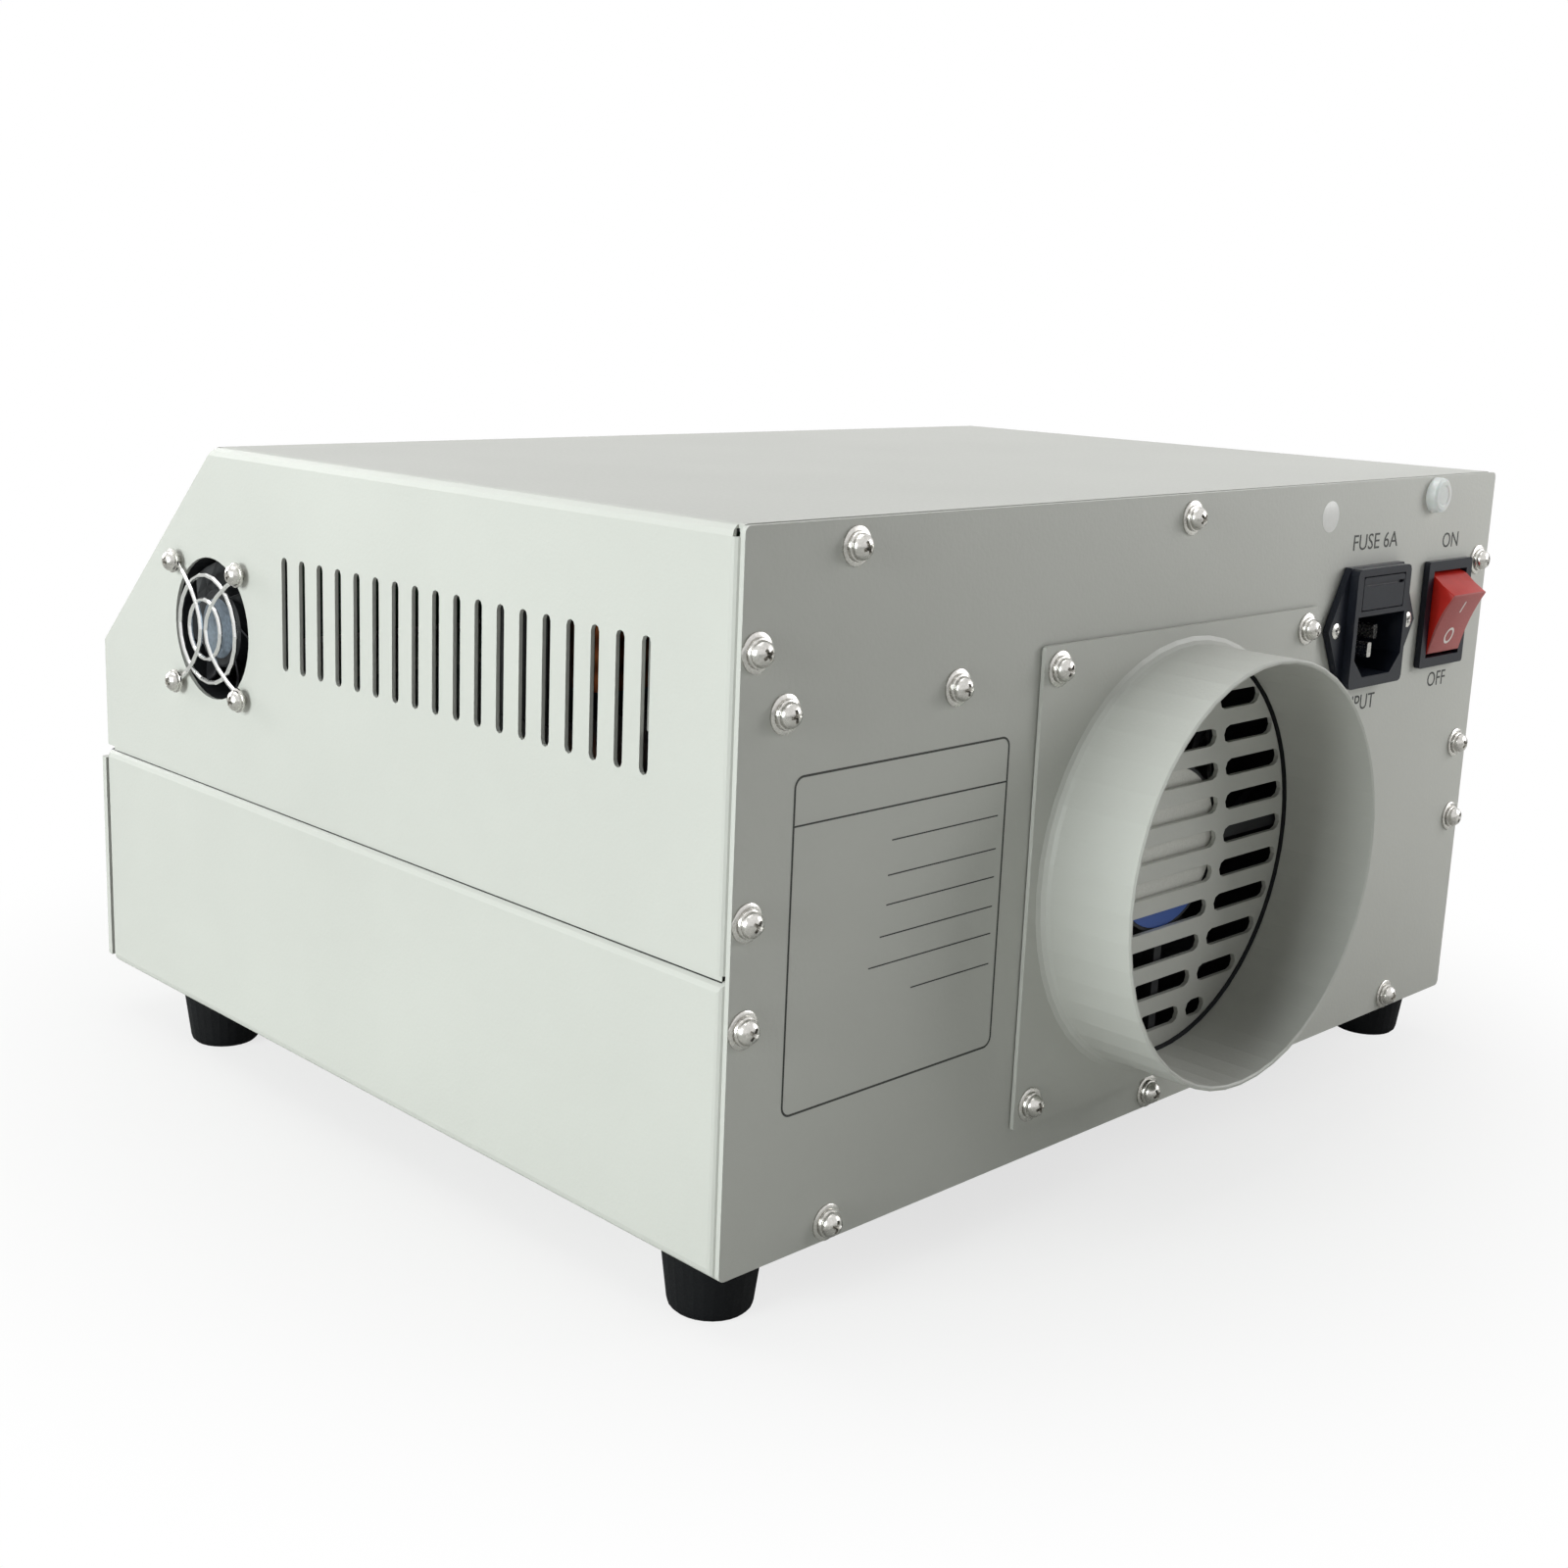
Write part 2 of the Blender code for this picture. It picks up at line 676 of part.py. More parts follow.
def rear_panel():
    """Flat rear sheet with the slotted grille and the cut-outs for the inlet and the switch."""
    width = BODY_WIDTH - 2 * REAR_PANEL_INSET
    height = BODY_HEIGHT - REAR_PANEL_INSET
    outlines = [rounded(width, height, REAR_PANEL_CORNER, at=(0, BODY_HEIGHT / 2))]
    outlines += grille_outlines()
    outlines.append(
        rounded(INLET_BODY_WIDTH + 2 * FIT, INLET_BODY_HEIGHT + 2 * FIT, at=(INLET_X, INLET_Z))
    )
    switch_body = switch_body_size()
    outlines.append(rounded(switch_body[0] + 2 * FIT, switch_body[1] + 2 * FIT, at=(SWITCH_X, SWITCH_Z)))
    piece("rear_panel", plate("rear_panel", outlines, SHEET), PAINT, at=(0, -SHEET / 2, 0), turn=UPRIGHT_ACROSS)


def exhaust_duct():
    """Square flange sheet with a round pipe welded on, and the filleted weld at its foot."""
    inner = DUCT_OUTER_RADIUS - DUCT_WALL
    middle = DUCT_OUTER_RADIUS - DUCT_WALL / 2
    flange = plate(
        "exhaust_duct",
        [rounded(DUCT_FLANGE_SIDE, DUCT_FLANGE_SIDE, DUCT_FLANGE_CORNER, steps=2), circle(middle, 48)],
        DUCT_FLANGE_SHEET,
    )
    flange_top = FIT + DUCT_FLANGE_SHEET
    duct = piece(
        "exhaust_duct", flange, PAINT,
        at=(DUCT_X, FIT + DUCT_FLANGE_SHEET / 2, DUCT_Z), turn=FACING_REAR,
    )
    lip = DUCT_WALL / 3
    profile = [(inner, DUCT_STAND_OUT - lip), (inner + lip, DUCT_STAND_OUT)]
    profile += [(DUCT_OUTER_RADIUS - lip, DUCT_STAND_OUT), (DUCT_OUTER_RADIUS, DUCT_STAND_OUT - lip)]
    fillet_centre = (DUCT_OUTER_RADIUS + DUCT_FILLET, flange_top + DUCT_FILLET)
    profile += arc(fillet_centre, DUCT_FILLET, 180, 260, 3)
    foot = FIT + DUCT_FLANGE_SHEET / 2
    profile += [(DUCT_OUTER_RADIUS + DUCT_FILLET, foot), (inner, foot)]
    pipe = tool(turned("duct_pipe", profile, closed=True), at=(DUCT_X, 0, DUCT_Z), turn=FACING_REAR)
    join(duct, spin(pipe, 48))


def foot(name, x, y):
    """Tapered rubber foot with a rounded tread."""
    tread = 0.002
    bottom = -FOOT_HEIGHT
    profile = [(0, -FIT), (FOOT_TOP_RADIUS, -FIT)]
    profile += arc((FOOT_BOTTOM_RADIUS - tread, bottom + tread), tread, 0, -90, 3)
    profile.append((0, bottom))
    spin(piece(name, turned(name, profile), RUBBER, at=(x, y, 0)), 28)


def feet():
    x = HALF_WIDTH - FOOT_SIDE_INSET
    for side, sign in (("left", -1), ("right", 1)):
        foot(f"foot_front_{side}", sign * x, -BODY_DEPTH + FOOT_FRONT_INSET)
        foot(f"foot_rear_{side}", sign * x, -FOOT_REAR_INSET)


def fan_blades(name, count, root, tip, low, high):
    """Twisted blades round the Z axis, from inside the hub to the tip circle."""
    sweep = BLADE_SPAN / count
    shape = bmesh.new()
    for blade in range(count):
        rows = []
        for share in (0.0, 0.5, 1.0):
            radius = root + share * (tip - root)
            chord = 1 - (1 - BLADE_TIP_CHORD) * share
            pitch = 1 - (1 - BLADE_TIP_PITCH) * share
            row = []
            for step in range(4):
                along = step / 3 - 0.5
                angle = 2 * math.pi * blade / count + sweep * along * chord + BLADE_LEAN * share
                height = low + (high - low) * (0.5 + along * pitch)
                row.append(shape.verts.new((radius * math.cos(angle), radius * math.sin(angle), height)))
            rows.append(row)
        for inner, outer in zip(rows, rows[1:]):
            for i in range(3):
                shape.faces.new((inner[i], outer[i], outer[i + 1], inner[i + 1]))
    mesh = bpy.data.meshes.new(name)
    shape.to_mesh(mesh)
    shape.free()
    return mesh


def axial_fan(name, side, depth, bore, hub, spacing, blades, at, turn, hole_radius):
    """Square fan frame with its motor plate on three struts, and the bladed rotor on its shaft.

    In its own frame +Z is the strut side, and the frame's strut-side face is at zero.
    """
    plate_depth = depth * MOTOR_PLATE
    shaft = hub * SHAFT
    corners = [(x * spacing / 2, y * spacing / 2) for x in (-1, 1) for y in (-1, 1)]
    outlines = [rounded(side, side, side * FRAME_CORNER), circle(bore, 48)]
    outlines += [circle(hole_radius, 10, at=corner) for corner in corners]
    frame_mesh = plate(name + "_frame", outlines, depth)
    frame_mesh.transform(Matrix.Translation((0, 0, -depth / 2)))
    frame = piece(name + "_frame", frame_mesh, FAN_PLASTIC, at=at, turn=turn)
    motor = tool(rod(name + "_motor", hub, -plate_depth, -depth * MOTOR_SINK, steps=32), at=at, turn=turn)
    join(frame, motor)
    for number in range(4):
        strut = block(
            f"{name}_strut_{number}", (hub - plate_depth, -hub * STRUT_HALF_WIDTH, -plate_depth + FIT),
            (bore + (side / 2 - bore) * STRUT_REACH, hub * STRUT_HALF_WIDTH, -FIT),
        )
        strut.transform(Matrix.Rotation(math.radians(90 * number), 4, "Z"))
        join(frame, tool(strut, at=at, turn=turn))
    cut(frame, tool(
        rod(name + "_bearing", shaft + FIT, -plate_depth - CUT, -plate_depth * SHAFT_SEAT + FIT, steps=12),
        at=at, turn=turn,
    ))
    top = -plate_depth - FIT
    bottom = -depth + depth * HUB_BACK
    edge = hub * HUB_EDGE
    shaft_end = -plate_depth * SHAFT_SEAT
    profile = [(0, shaft_end), (shaft, shaft_end), (shaft, top), (hub, top)]
    profile += [(hub, bottom + edge), (hub - edge, bottom), (0, bottom)]
    rotor = spin(piece(name + "_rotor", turned(name + "_rotor", profile), FAN_PLASTIC, at=at, turn=turn), 32)
    mesh = fan_blades(
        name + "_blades", blades, hub - side * BLADE_WALL, bore - side * BLADE_TIP_GAP,
        bottom + side * BLADE_WALL, top - side * BLADE_WALL,
    )
    blade_tool = tool(mesh, at=at, turn=turn)
    wall = blade_tool.modifiers.new("wall", "SOLIDIFY")
    wall.thickness = side * BLADE_WALL
    wall.offset = 0
    join(rotor, blade_tool)
    return frame, rotor


def fans():
    axial_fan(
        "exhaust_fan", FAN_SIDE, FAN_DEPTH, FAN_BORE_RADIUS, FAN_HUB_RADIUS, FAN_HOLE_SPACING, FAN_BLADES,
        (GRILLE_X, SHELL_REAR, GRILLE_Z), FACING_REAR, FAN_SCREW_HOLE_RADIUS,
    )
    axial_fan(
        "side_fan", SMALL_FAN_SIDE, SMALL_FAN_DEPTH, SMALL_FAN_BORE_RADIUS, SMALL_FAN_HUB_RADIUS,
        SMALL_FAN_HOLE_SPACING, SMALL_FAN_BLADES,
        (HALF_WIDTH - SHEET - FIT - SMALL_FAN_DEPTH, -BODY_DEPTH + SMALL_FAN_FROM_FRONT, SMALL_FAN_Z),
        FACING_LEFT, SMALL_FAN_SCREW_HOLE_RADIUS,
    )


def fan_bracket():
    """Zinc-plated sheet that clamps the exhaust fan, with an arm to the right side of the cover."""
    bore = FAN_BORE_RADIUS
    half = FAN_SIDE / 2
    arm_end = HALF_WIDTH - SHEET - FIT - GRILLE_X
    outline = [(-half, -half), (half, -half), (half, BRACKET_ARM_BOTTOM - GRILLE_Z)]
    outline += [(arm_end, BRACKET_ARM_BOTTOM - GRILLE_Z), (arm_end, BRACKET_ARM_TOP - GRILLE_Z)]
    outline += [(-half, BRACKET_ARM_TOP - GRILLE_Z)]
    piece(
        "fan_bracket", plate("fan_bracket", [outline, circle(bore, 48)], BRACKET_SHEET), ZINC,
        at=(GRILLE_X, FAN_FRONT - FIT - BRACKET_SHEET / 2, GRILLE_Z), turn=UPRIGHT_ACROSS,
    )


def side_fan_guard():
    """Chromed wire guard: two rings under two bowed wires that end beneath the corner screws."""
    at = (
        HALF_WIDTH + FIT + GUARD_WIRE_SINK + GUARD_WIRE_RADIUS,
        -BODY_DEPTH + SMALL_FAN_FROM_FRONT, SMALL_FAN_Z,
    )
    rings = []
    sizes = (("outer", GUARD_OUTER_RING, GUARD_OUTER_RISE), ("inner", GUARD_INNER_RING, GUARD_INNER_RISE))
    for name, radius, rise in sizes:
        ring = [(x, y, rise) for x, y in circle(radius, 24)]
        rings.append(wire("guard_ring_" + name, ring, GUARD_WIRE_RADIUS, resolution=1, closed=True))
    guard = piece("side_fan_guard", rings[0], CHROME, at=at, turn=UPRIGHT_ALONG)
    join(guard, tool(rings[1], at=at, turn=UPRIGHT_ALONG))
    corner = SMALL_FAN_HOLE_SPACING / 2
    for name, sign in (("front", -1), ("rear", 1)):
        points = []
        for step in range(11):
            share = 2 * step / 10 - 1
            across = GUARD_WIRE_BOW + (corner - GUARD_WIRE_BOW) * share**2
            rise = GUARD_WIRE_RISE * (1 - share**2) - GUARD_WIRE_SINK * share**2
            points.append((sign * across, corner * share, rise))
        join(guard, tool(
            wire("guard_wire_" + name, points, GUARD_WIRE_RADIUS, resolution=1), at=at, turn=UPRIGHT_ALONG
        ))


def mains_inlet():
    """Appliance inlet: hexagonal flange, raised block with the socket, and a slot for the fuse drawer."""
    at = (INLET_X, 0, INLET_Z)
    tip = INLET_TIP_TO_TIP / 2
    half_top = INLET_TOP_WIDTH / 2
    half_height = INLET_HEIGHT / 2
    outline = [(tip, 0), (half_top, half_height), (-half_top, half_height)]
    outline += [(-tip, 0), (-half_top, -half_height), (half_top, -half_height)]
    flange = plate("mains_inlet", [outline], INLET_FLANGE - FIT)
    flange.transform(Matrix.Translation((0, 0, -(FIT + INLET_FLANGE) / 2)))
    inlet = piece("mains_inlet", flange, BLACK_PLASTIC, at=at, turn=UPRIGHT_ACROSS)
    half_block = INLET_BLOCK_WIDTH / 2
    half_body = INLET_BODY_WIDTH / 2
    half_tall = INLET_BODY_HEIGHT / 2
    join(
        inlet,
        tool(block(
            "inlet_block", (-half_block, 2 * FIT, -half_height + FIT),
            (half_block, INLET_BLOCK_STAND_OUT, half_height - FIT),
            along="Y", radius=0.0015, segments=2,
        ), at=at),
        tool(block(
            "inlet_body", (-half_body, -INLET_BODY_DEPTH, -half_tall), (half_body, INLET_FLANGE / 2, half_tall)
        ), at=at),
    )
    half_socket = SOCKET_WIDTH / 2
    cavity = [
        (-half_socket, SOCKET_TOP), (-half_socket, SOCKET_BOTTOM + SOCKET_CHAMFER),
        (-half_socket + SOCKET_CHAMFER, SOCKET_BOTTOM), (half_socket - SOCKET_CHAMFER, SOCKET_BOTTOM),
        (half_socket, SOCKET_BOTTOM + SOCKET_CHAMFER), (half_socket, SOCKET_TOP),
    ]
    depth = SOCKET_DEPTH + CUT
    socket = plate("inlet_socket", [cavity], depth)
    socket.transform(Matrix.Translation((0, 0, -(INLET_BLOCK_STAND_OUT + CUT - depth / 2))))
    half_slot = FUSE_SLOT_WIDTH / 2
    cut(
        inlet,
        tool(socket, at=at, turn=UPRIGHT_ACROSS),
        tool(block(
            "inlet_fuse_slot", (-half_slot, INLET_BLOCK_STAND_OUT - FUSE_DRAWER_DEPTH - FIT, FUSE_SLOT_BOTTOM),
            (half_slot, INLET_BLOCK_STAND_OUT + CUT, FUSE_SLOT_TOP),
        ), at=at),
    )
    for name, x, z, recess in inlet_pins():
        half_x = PIN_WIDTH / 2
        half_z = PIN_HEIGHT / 2
        cut(inlet, tool(block(
            "inlet_pin_hole_" + name, (x - half_x - FIT, -INLET_BODY_DEPTH - CUT, z - half_z - FIT),
            (x + half_x + FIT, 0, z + half_z + FIT),
        ), at=at))
        piece(
            "inlet_pin_" + name,
            block(
                "inlet_pin_" + name, (x - half_x, -INLET_BODY_DEPTH - PIN_TAIL, z - half_z),
                (x + half_x, INLET_BLOCK_STAND_OUT - recess, z + half_z),
                along="Y", radius=0.0004, segments=2,
            ),
            NICKEL, at=at,
        )


def inlet_pins():
    """Name, place and recess of each pin. The earth pin stands out further than the other two."""
    return (
        ("line", PIN_SPREAD, PIN_ROW_Z, PIN_RECESS),
        ("neutral", -PIN_SPREAD, PIN_ROW_Z, PIN_RECESS),
        ("earth", 0, EARTH_PIN_Z, EARTH_PIN_RECESS),
    )


def fuse_drawer():
    """Pull-out holder in the inlet, with a finger groove in its face and a trough for one fuse."""
    at = (INLET_X, INLET_BLOCK_STAND_OUT, INLET_Z)
    half = FUSE_SLOT_WIDTH / 2 - FIT
    bottom = FUSE_SLOT_BOTTOM + FIT
    top = FUSE_SLOT_TOP - FIT
    holder = piece(
        "fuse_drawer",
        block(
            "fuse_drawer", (-half, -FUSE_DRAWER_DEPTH, bottom), (half, 0, top),
            along="Y", radius=0.0006, segments=2,
        ),
        BLACK_PLASTIC, at=at,
    )
    trough = FUSE_RADIUS + FIT
    middle = (bottom + top) / 2
    trough_y = -FUSE_DRAWER_DEPTH + FUSE_FROM_BACK
    reach = FUSE_LENGTH / 2 + FIT
    half_groove = FUSE_GROOVE_WIDTH / 2
    groove_top = top - FUSE_GROOVE_FROM_TOP
    cut(
        holder,
        tool(block(
            "fuse_trough", (-reach, trough_y - trough, middle - trough), (reach, trough_y + trough, top + CUT)
        ), at=at),
        tool(block(
            "fuse_groove", (-half_groove, -FUSE_GROOVE_HEIGHT, groove_top - FUSE_GROOVE_HEIGHT),
            (half_groove, CUT, groove_top),
        ), at=at),
    )
    piece(
        "fuse", rod("fuse", FUSE_RADIUS, -FUSE_LENGTH / 2, FUSE_LENGTH / 2, steps=16), GLASS,
        at=(INLET_X, INLET_BLOCK_STAND_OUT + trough_y, INLET_Z + middle), turn=FACING_RIGHT,
    )


def switch_body_size():
    width = SWITCH_OPENING_WIDTH + 2 * SWITCH_WALL
    height = 2 * (ROCKER_SWEEP + FIT + SWITCH_WALL)
    return width, min(height, BEZEL_HEIGHT - 2 * FIT)


def rocker_switch():
    """Snap-in switch: a flanged housing, and a rocker on an axle that rests tilted to OFF."""
    at = (SWITCH_X, 0, SWITCH_Z)
    width, height = switch_body_size()
    half_bezel = (BEZEL_WIDTH / 2, BEZEL_HEIGHT / 2)
    housing = piece(
        "switch_housing",
        block(
            "switch_housing", (-half_bezel[0], FIT, -half_bezel[1]),
            (half_bezel[0], BEZEL_STAND_OUT, half_bezel[1]), along="Y", radius=0.0008, segments=2,
        ),
        BLACK_PLASTIC, at=at,
    )
    join(housing, tool(block(
        "switch_body", (-width / 2, -SWITCH_BODY_DEPTH, -height / 2),
        (width / 2, BEZEL_STAND_OUT / 2, height / 2),
    ), at=at))
    half_open = SWITCH_OPENING_WIDTH / 2
    half_tall = SWITCH_OPENING_HEIGHT / 2
    sweep = ROCKER_SWEEP + FIT
    floor = -SWITCH_BODY_DEPTH + SWITCH_WALL
    cut(
        housing,
        tool(block(
            "switch_opening", (-half_open, -SWITCH_BODY_DEPTH / 2, -half_tall),
            (half_open, BEZEL_STAND_OUT + CUT, half_tall),
        ), at=at),
        tool(block("switch_inside", (-half_open, floor, -sweep), (half_open, FIT, sweep)), at=at),
    )
    axle_half = (SWITCH_OPENING_WIDTH + SWITCH_WALL) / 2
    axle_at = (SWITCH_X, -ROCKER_PIVOT_DEPTH, SWITCH_Z)
    cut(housing, tool(
        rod("switch_axle_hole", ROCKER_AXLE_RADIUS + FIT, -axle_half, axle_half, steps=16),
        at=axle_at, turn=FACING_RIGHT,
    ))
    side = arc((0, 0), ROCKER_SWEEP, ROCKER_WALL_START, ROCKER_WALL_END, 4)
    outline = [(ROCKER_FACE - ROCKER_HOLLOW, 0), (ROCKER_FACE, ROCKER_HALF_LENGTH), *side]
    outline += [(y, -z) for y, z in reversed(outline[1:])]
    rocker_mesh = plate("switch_rocker", [outline], ROCKER_WIDTH)
    rocker = piece("switch_rocker", rocker_mesh, RED_PLASTIC, at=axle_at, turn=(-ROCKER_TILT, 0, 0))
    rocker_mesh.transform(Matrix.Rotation(math.radians(90), 4, "Z") @ Matrix.Rotation(math.radians(90), 4, "X"))
    join(rocker, tool(
        rod("rocker_axle", ROCKER_AXLE_RADIUS, -axle_half + FIT, axle_half - FIT, steps=16),
        at=axle_at, turn=FACING_RIGHT,
    ))


def drawer_front():
    """Folded drawer front with its window, the glass behind it, and a heat shield that holds both."""
    front = piece(
        "drawer_front",
        block(
            "drawer_front", (-HALF_WIDTH, DRAWER_FACE, DRAWER_FRONT_BOTTOM),
            (HALF_WIDTH, DRAWER_BACK, DRAWER_FRONT_TOP), along="Z", side=(0, -1, 0), radius=0.0012,
        ),
        PAINT,
    )
    half = WINDOW_WIDTH / 2
    low = WINDOW_Z - WINDOW_HEIGHT / 2
    high = WINDOW_Z + WINDOW_HEIGHT / 2
    cut(
        front,
        tool(block(
            "drawer_front_inside", (-HALF_WIDTH + SHEET, DRAWER_FACE + SHEET, DRAWER_FRONT_BOTTOM + SHEET),
            (HALF_WIDTH - SHEET, DRAWER_BACK + CUT, DRAWER_FRONT_TOP - SHEET),
        )),
        tool(block(
            "drawer_window_hole", (-half, DRAWER_FACE - CUT, low), (half, DRAWER_BACK, high),
            along="Y", radius=0.004,
        )),
    )
    glass_front = DRAWER_FACE + SHEET + FIT
    edge = GLASS_OVERLAP
    piece(
        "drawer_window",
        block(
            "drawer_window", (-half - edge, glass_front, low - edge),
            (half + edge, glass_front + GLASS_THICKNESS, high + edge),
            along="Y", radius=0.003, segments=2,
        ),
        DARK_GLASS,
    )
    shield_half = HALF_WIDTH - SHIELD_SIDE_GAP
    shield = piece(
        "drawer_heat_shield",
        block(
            "drawer_heat_shield", (-shield_half, DRAWER_BACK + FIT, DRAWER_FRONT_BOTTOM + SHEET),
            (shield_half, SHIELD_BACK, DRAWER_FRONT_TOP - SHEET),
        ),
        STAINLESS,
    )
    cut(shield, tool(block(
        "shield_window", (-half, DRAWER_BACK - CUT, low), (half, SHIELD_BACK + CUT, high),
        along="Y", radius=0.004,
    )))


def drawer_handle():
    """Round bow handle screwed to the drawer front under the window."""
    half = HANDLE_WIDTH / 2 - HANDLE_RADIUS
    reach = HANDLE_STAND_OUT - HANDLE_RADIUS
    points = [(-half, -FIT)]
    points += arc((-half + HANDLE_CORNER, -reach + HANDLE_CORNER), HANDLE_CORNER, 180, 270, 5)
    points += arc((half - HANDLE_CORNER, -reach + HANDLE_CORNER), HANDLE_CORNER, 270, 360, 5)
    points += [(half, -FIT)]
    line = [(x, y, 0) for x, y in points]
    piece(
        "drawer_handle", wire("drawer_handle", line, HANDLE_RADIUS, resolution=3), CHROME,
        at=(0, DRAWER_FACE, HANDLE_Z),
    )


def drawer_tray():
    """Folded board tray behind the shield, open under its slotted rack."""
    half = CHAMBER_INNER - TRAY_SIDE_GAP
    back = RUNNER_FRONT + TRAY_LENGTH
    top = TRAY_BOTTOM + TRAY_HEIGHT
    tray = piece(
        "drawer_tray", block("drawer_tray", (-half, RUNNER_FRONT, TRAY_BOTTOM), (half, back, top)), STAINLESS
    )
    inner = half - TRAY_SHEET
    rim = half - TRAY_RIM
    cut(
        tray,
        tool(block(
            "tray_inside", (-inner, RUNNER_FRONT + TRAY_SHEET, TRAY_BOTTOM + TRAY_SHEET),
            (inner, back - TRAY_SHEET, top + CUT),
        )),
        tool(block(
            "tray_floor", (-rim, RUNNER_FRONT + TRAY_RIM, TRAY_BOTTOM - CUT), (rim, back - TRAY_RIM, top)
        )),
    )
    width = 2 * (inner - FIT)
    length = TRAY_LENGTH - 2 * (TRAY_SHEET + FIT)
    cell_x = (width - 2 * TRAY_RIM + RACK_BAR) / RACK_SLOT_COLUMNS
    cell_y = (length - 2 * TRAY_RIM + RACK_BAR) / RACK_SLOT_ROWS
    outlines = [rounded(width, length)]
    for column in range(RACK_SLOT_COLUMNS):
        for row in range(RACK_SLOT_ROWS):
            x = (column - (RACK_SLOT_COLUMNS - 1) / 2) * cell_x
            y = (row - (RACK_SLOT_ROWS - 1) / 2) * cell_y
            outlines.append(rounded(cell_x - RACK_BAR, cell_y - RACK_BAR, 0.0025, steps=1, at=(x, y)))
    rack_z = TRAY_BOTTOM + TRAY_SHEET + FIT + TRAY_SHEET / 2
    piece(
        "board_rack", plate("board_rack", outlines, TRAY_SHEET), STAINLESS,
        at=(0, (RUNNER_FRONT + back) / 2, rack_z),
    )


def drawer_slides():
    """A channel fixed to each side of the base, and the bar behind the drawer front that runs in it."""
    outer = HALF_WIDTH - SHEET - FIT
    inner = outer - SLIDE_WIDTH
    top = SLIDE_BOTTOM + SLIDE_HEIGHT
    front = -BODY_DEPTH + CHAMBER_FRONT_GAP
    bar_outer = outer - SLIDE_SHEET - SLIDE_PLAY
    bar_length = DRAWER_TRAVEL + BAR_OVERLAP
    for side, sign in (("left", -1), ("right", 1)):
        low_x, high_x = sorted((sign * inner, sign * outer))
        channel = piece(
            f"slide_channel_{side}",
            block(
                f"slide_channel_{side}", (low_x, front, SLIDE_BOTTOM), (high_x, front + SLIDE_LENGTH, top)
            ),
            ZINC,
        )
        low_x, high_x = sorted((sign * (inner - CUT), sign * (outer - SLIDE_SHEET)))
        cut(channel, tool(block(
            f"channel_inside_{side}", (low_x, front - CUT, SLIDE_BOTTOM + SLIDE_SHEET),
            (high_x, front + SLIDE_LENGTH + CUT, top - SLIDE_SHEET),
        )))
        low_x, high_x = sorted((sign * (bar_outer - BAR_THICKNESS), sign * bar_outer))
        piece(
            f"slide_bar_{side}",
            block(
                f"slide_bar_{side}", (low_x, RUNNER_FRONT, SLIDE_BOTTOM + SLIDE_SHEET + SLIDE_PLAY),
                (high_x, RUNNER_FRONT + bar_length, top - SLIDE_SHEET - SLIDE_PLAY),
                along="Y", radius=0.001, segments=2,
            ),
            STAINLESS,
        )


def oven_chamber():
    """Heated box on the base: open mouth for the drawer, and a port to the exhaust fan."""
    half = CHAMBER_HALF
    chamber = piece(
        "oven_chamber",
        block("oven_chamber", (-half, CHAMBER_FRONT, CHAMBER_BOTTOM), (half, CHAMBER_BACK, CHAMBER_TOP)),
        ALUMINISED,
    )
    port = EXHAUST_PORT_WIDTH / 2
    floor = CHAMBER_BOTTOM + CHAMBER_SHEET
    cut(
        chamber,
        tool(block(
            "chamber_inside", (-CHAMBER_INNER, CHAMBER_FRONT + CHAMBER_SHEET, floor),
            (CHAMBER_INNER, CHAMBER_BACK - CHAMBER_SHEET, CHAMBER_TOP - CHAMBER_SHEET),
        )),
        tool(block(
            "chamber_mouth", (-CHAMBER_INNER, CHAMBER_FRONT - CUT, floor),
            (CHAMBER_INNER, CHAMBER_FRONT + CUT, CHAMBER_MOUTH_TOP),
        )),
        tool(block(
            "chamber_port", (-port, CHAMBER_BACK - CUT, EXHAUST_PORT_BOTTOM),
            (port, CHAMBER_BACK + CUT, EXHAUST_PORT_TOP),
        )),
    )
    piece(
        "insulation_blanket",
        block(
            "insulation_blanket", (-half, CHAMBER_FRONT, CHAMBER_TOP + FIT),
            (half, CHAMBER_BACK, CHAMBER_TOP + FIT + BLANKET_THICKNESS), along="Z", radius=0.004,
        ),
        CERAMIC_WOOL,
    )
    piece(
        "temperature_probe",
        rod("temperature_probe", PROBE_RADIUS, 0, PROBE_LENGTH, steps=12), STAINLESS,
        at=(PROBE_X, CHAMBER_BACK - CHAMBER_SHEET - FIT, PROBE_Z), turn=(math.radians(90), 0, 0),
    )


def lamp_places():
    first = -BODY_DEPTH + FIRST_LAMP_FROM_FRONT
    return [first + i * LAMP_PITCH for i in range(LAMP_COUNT)]


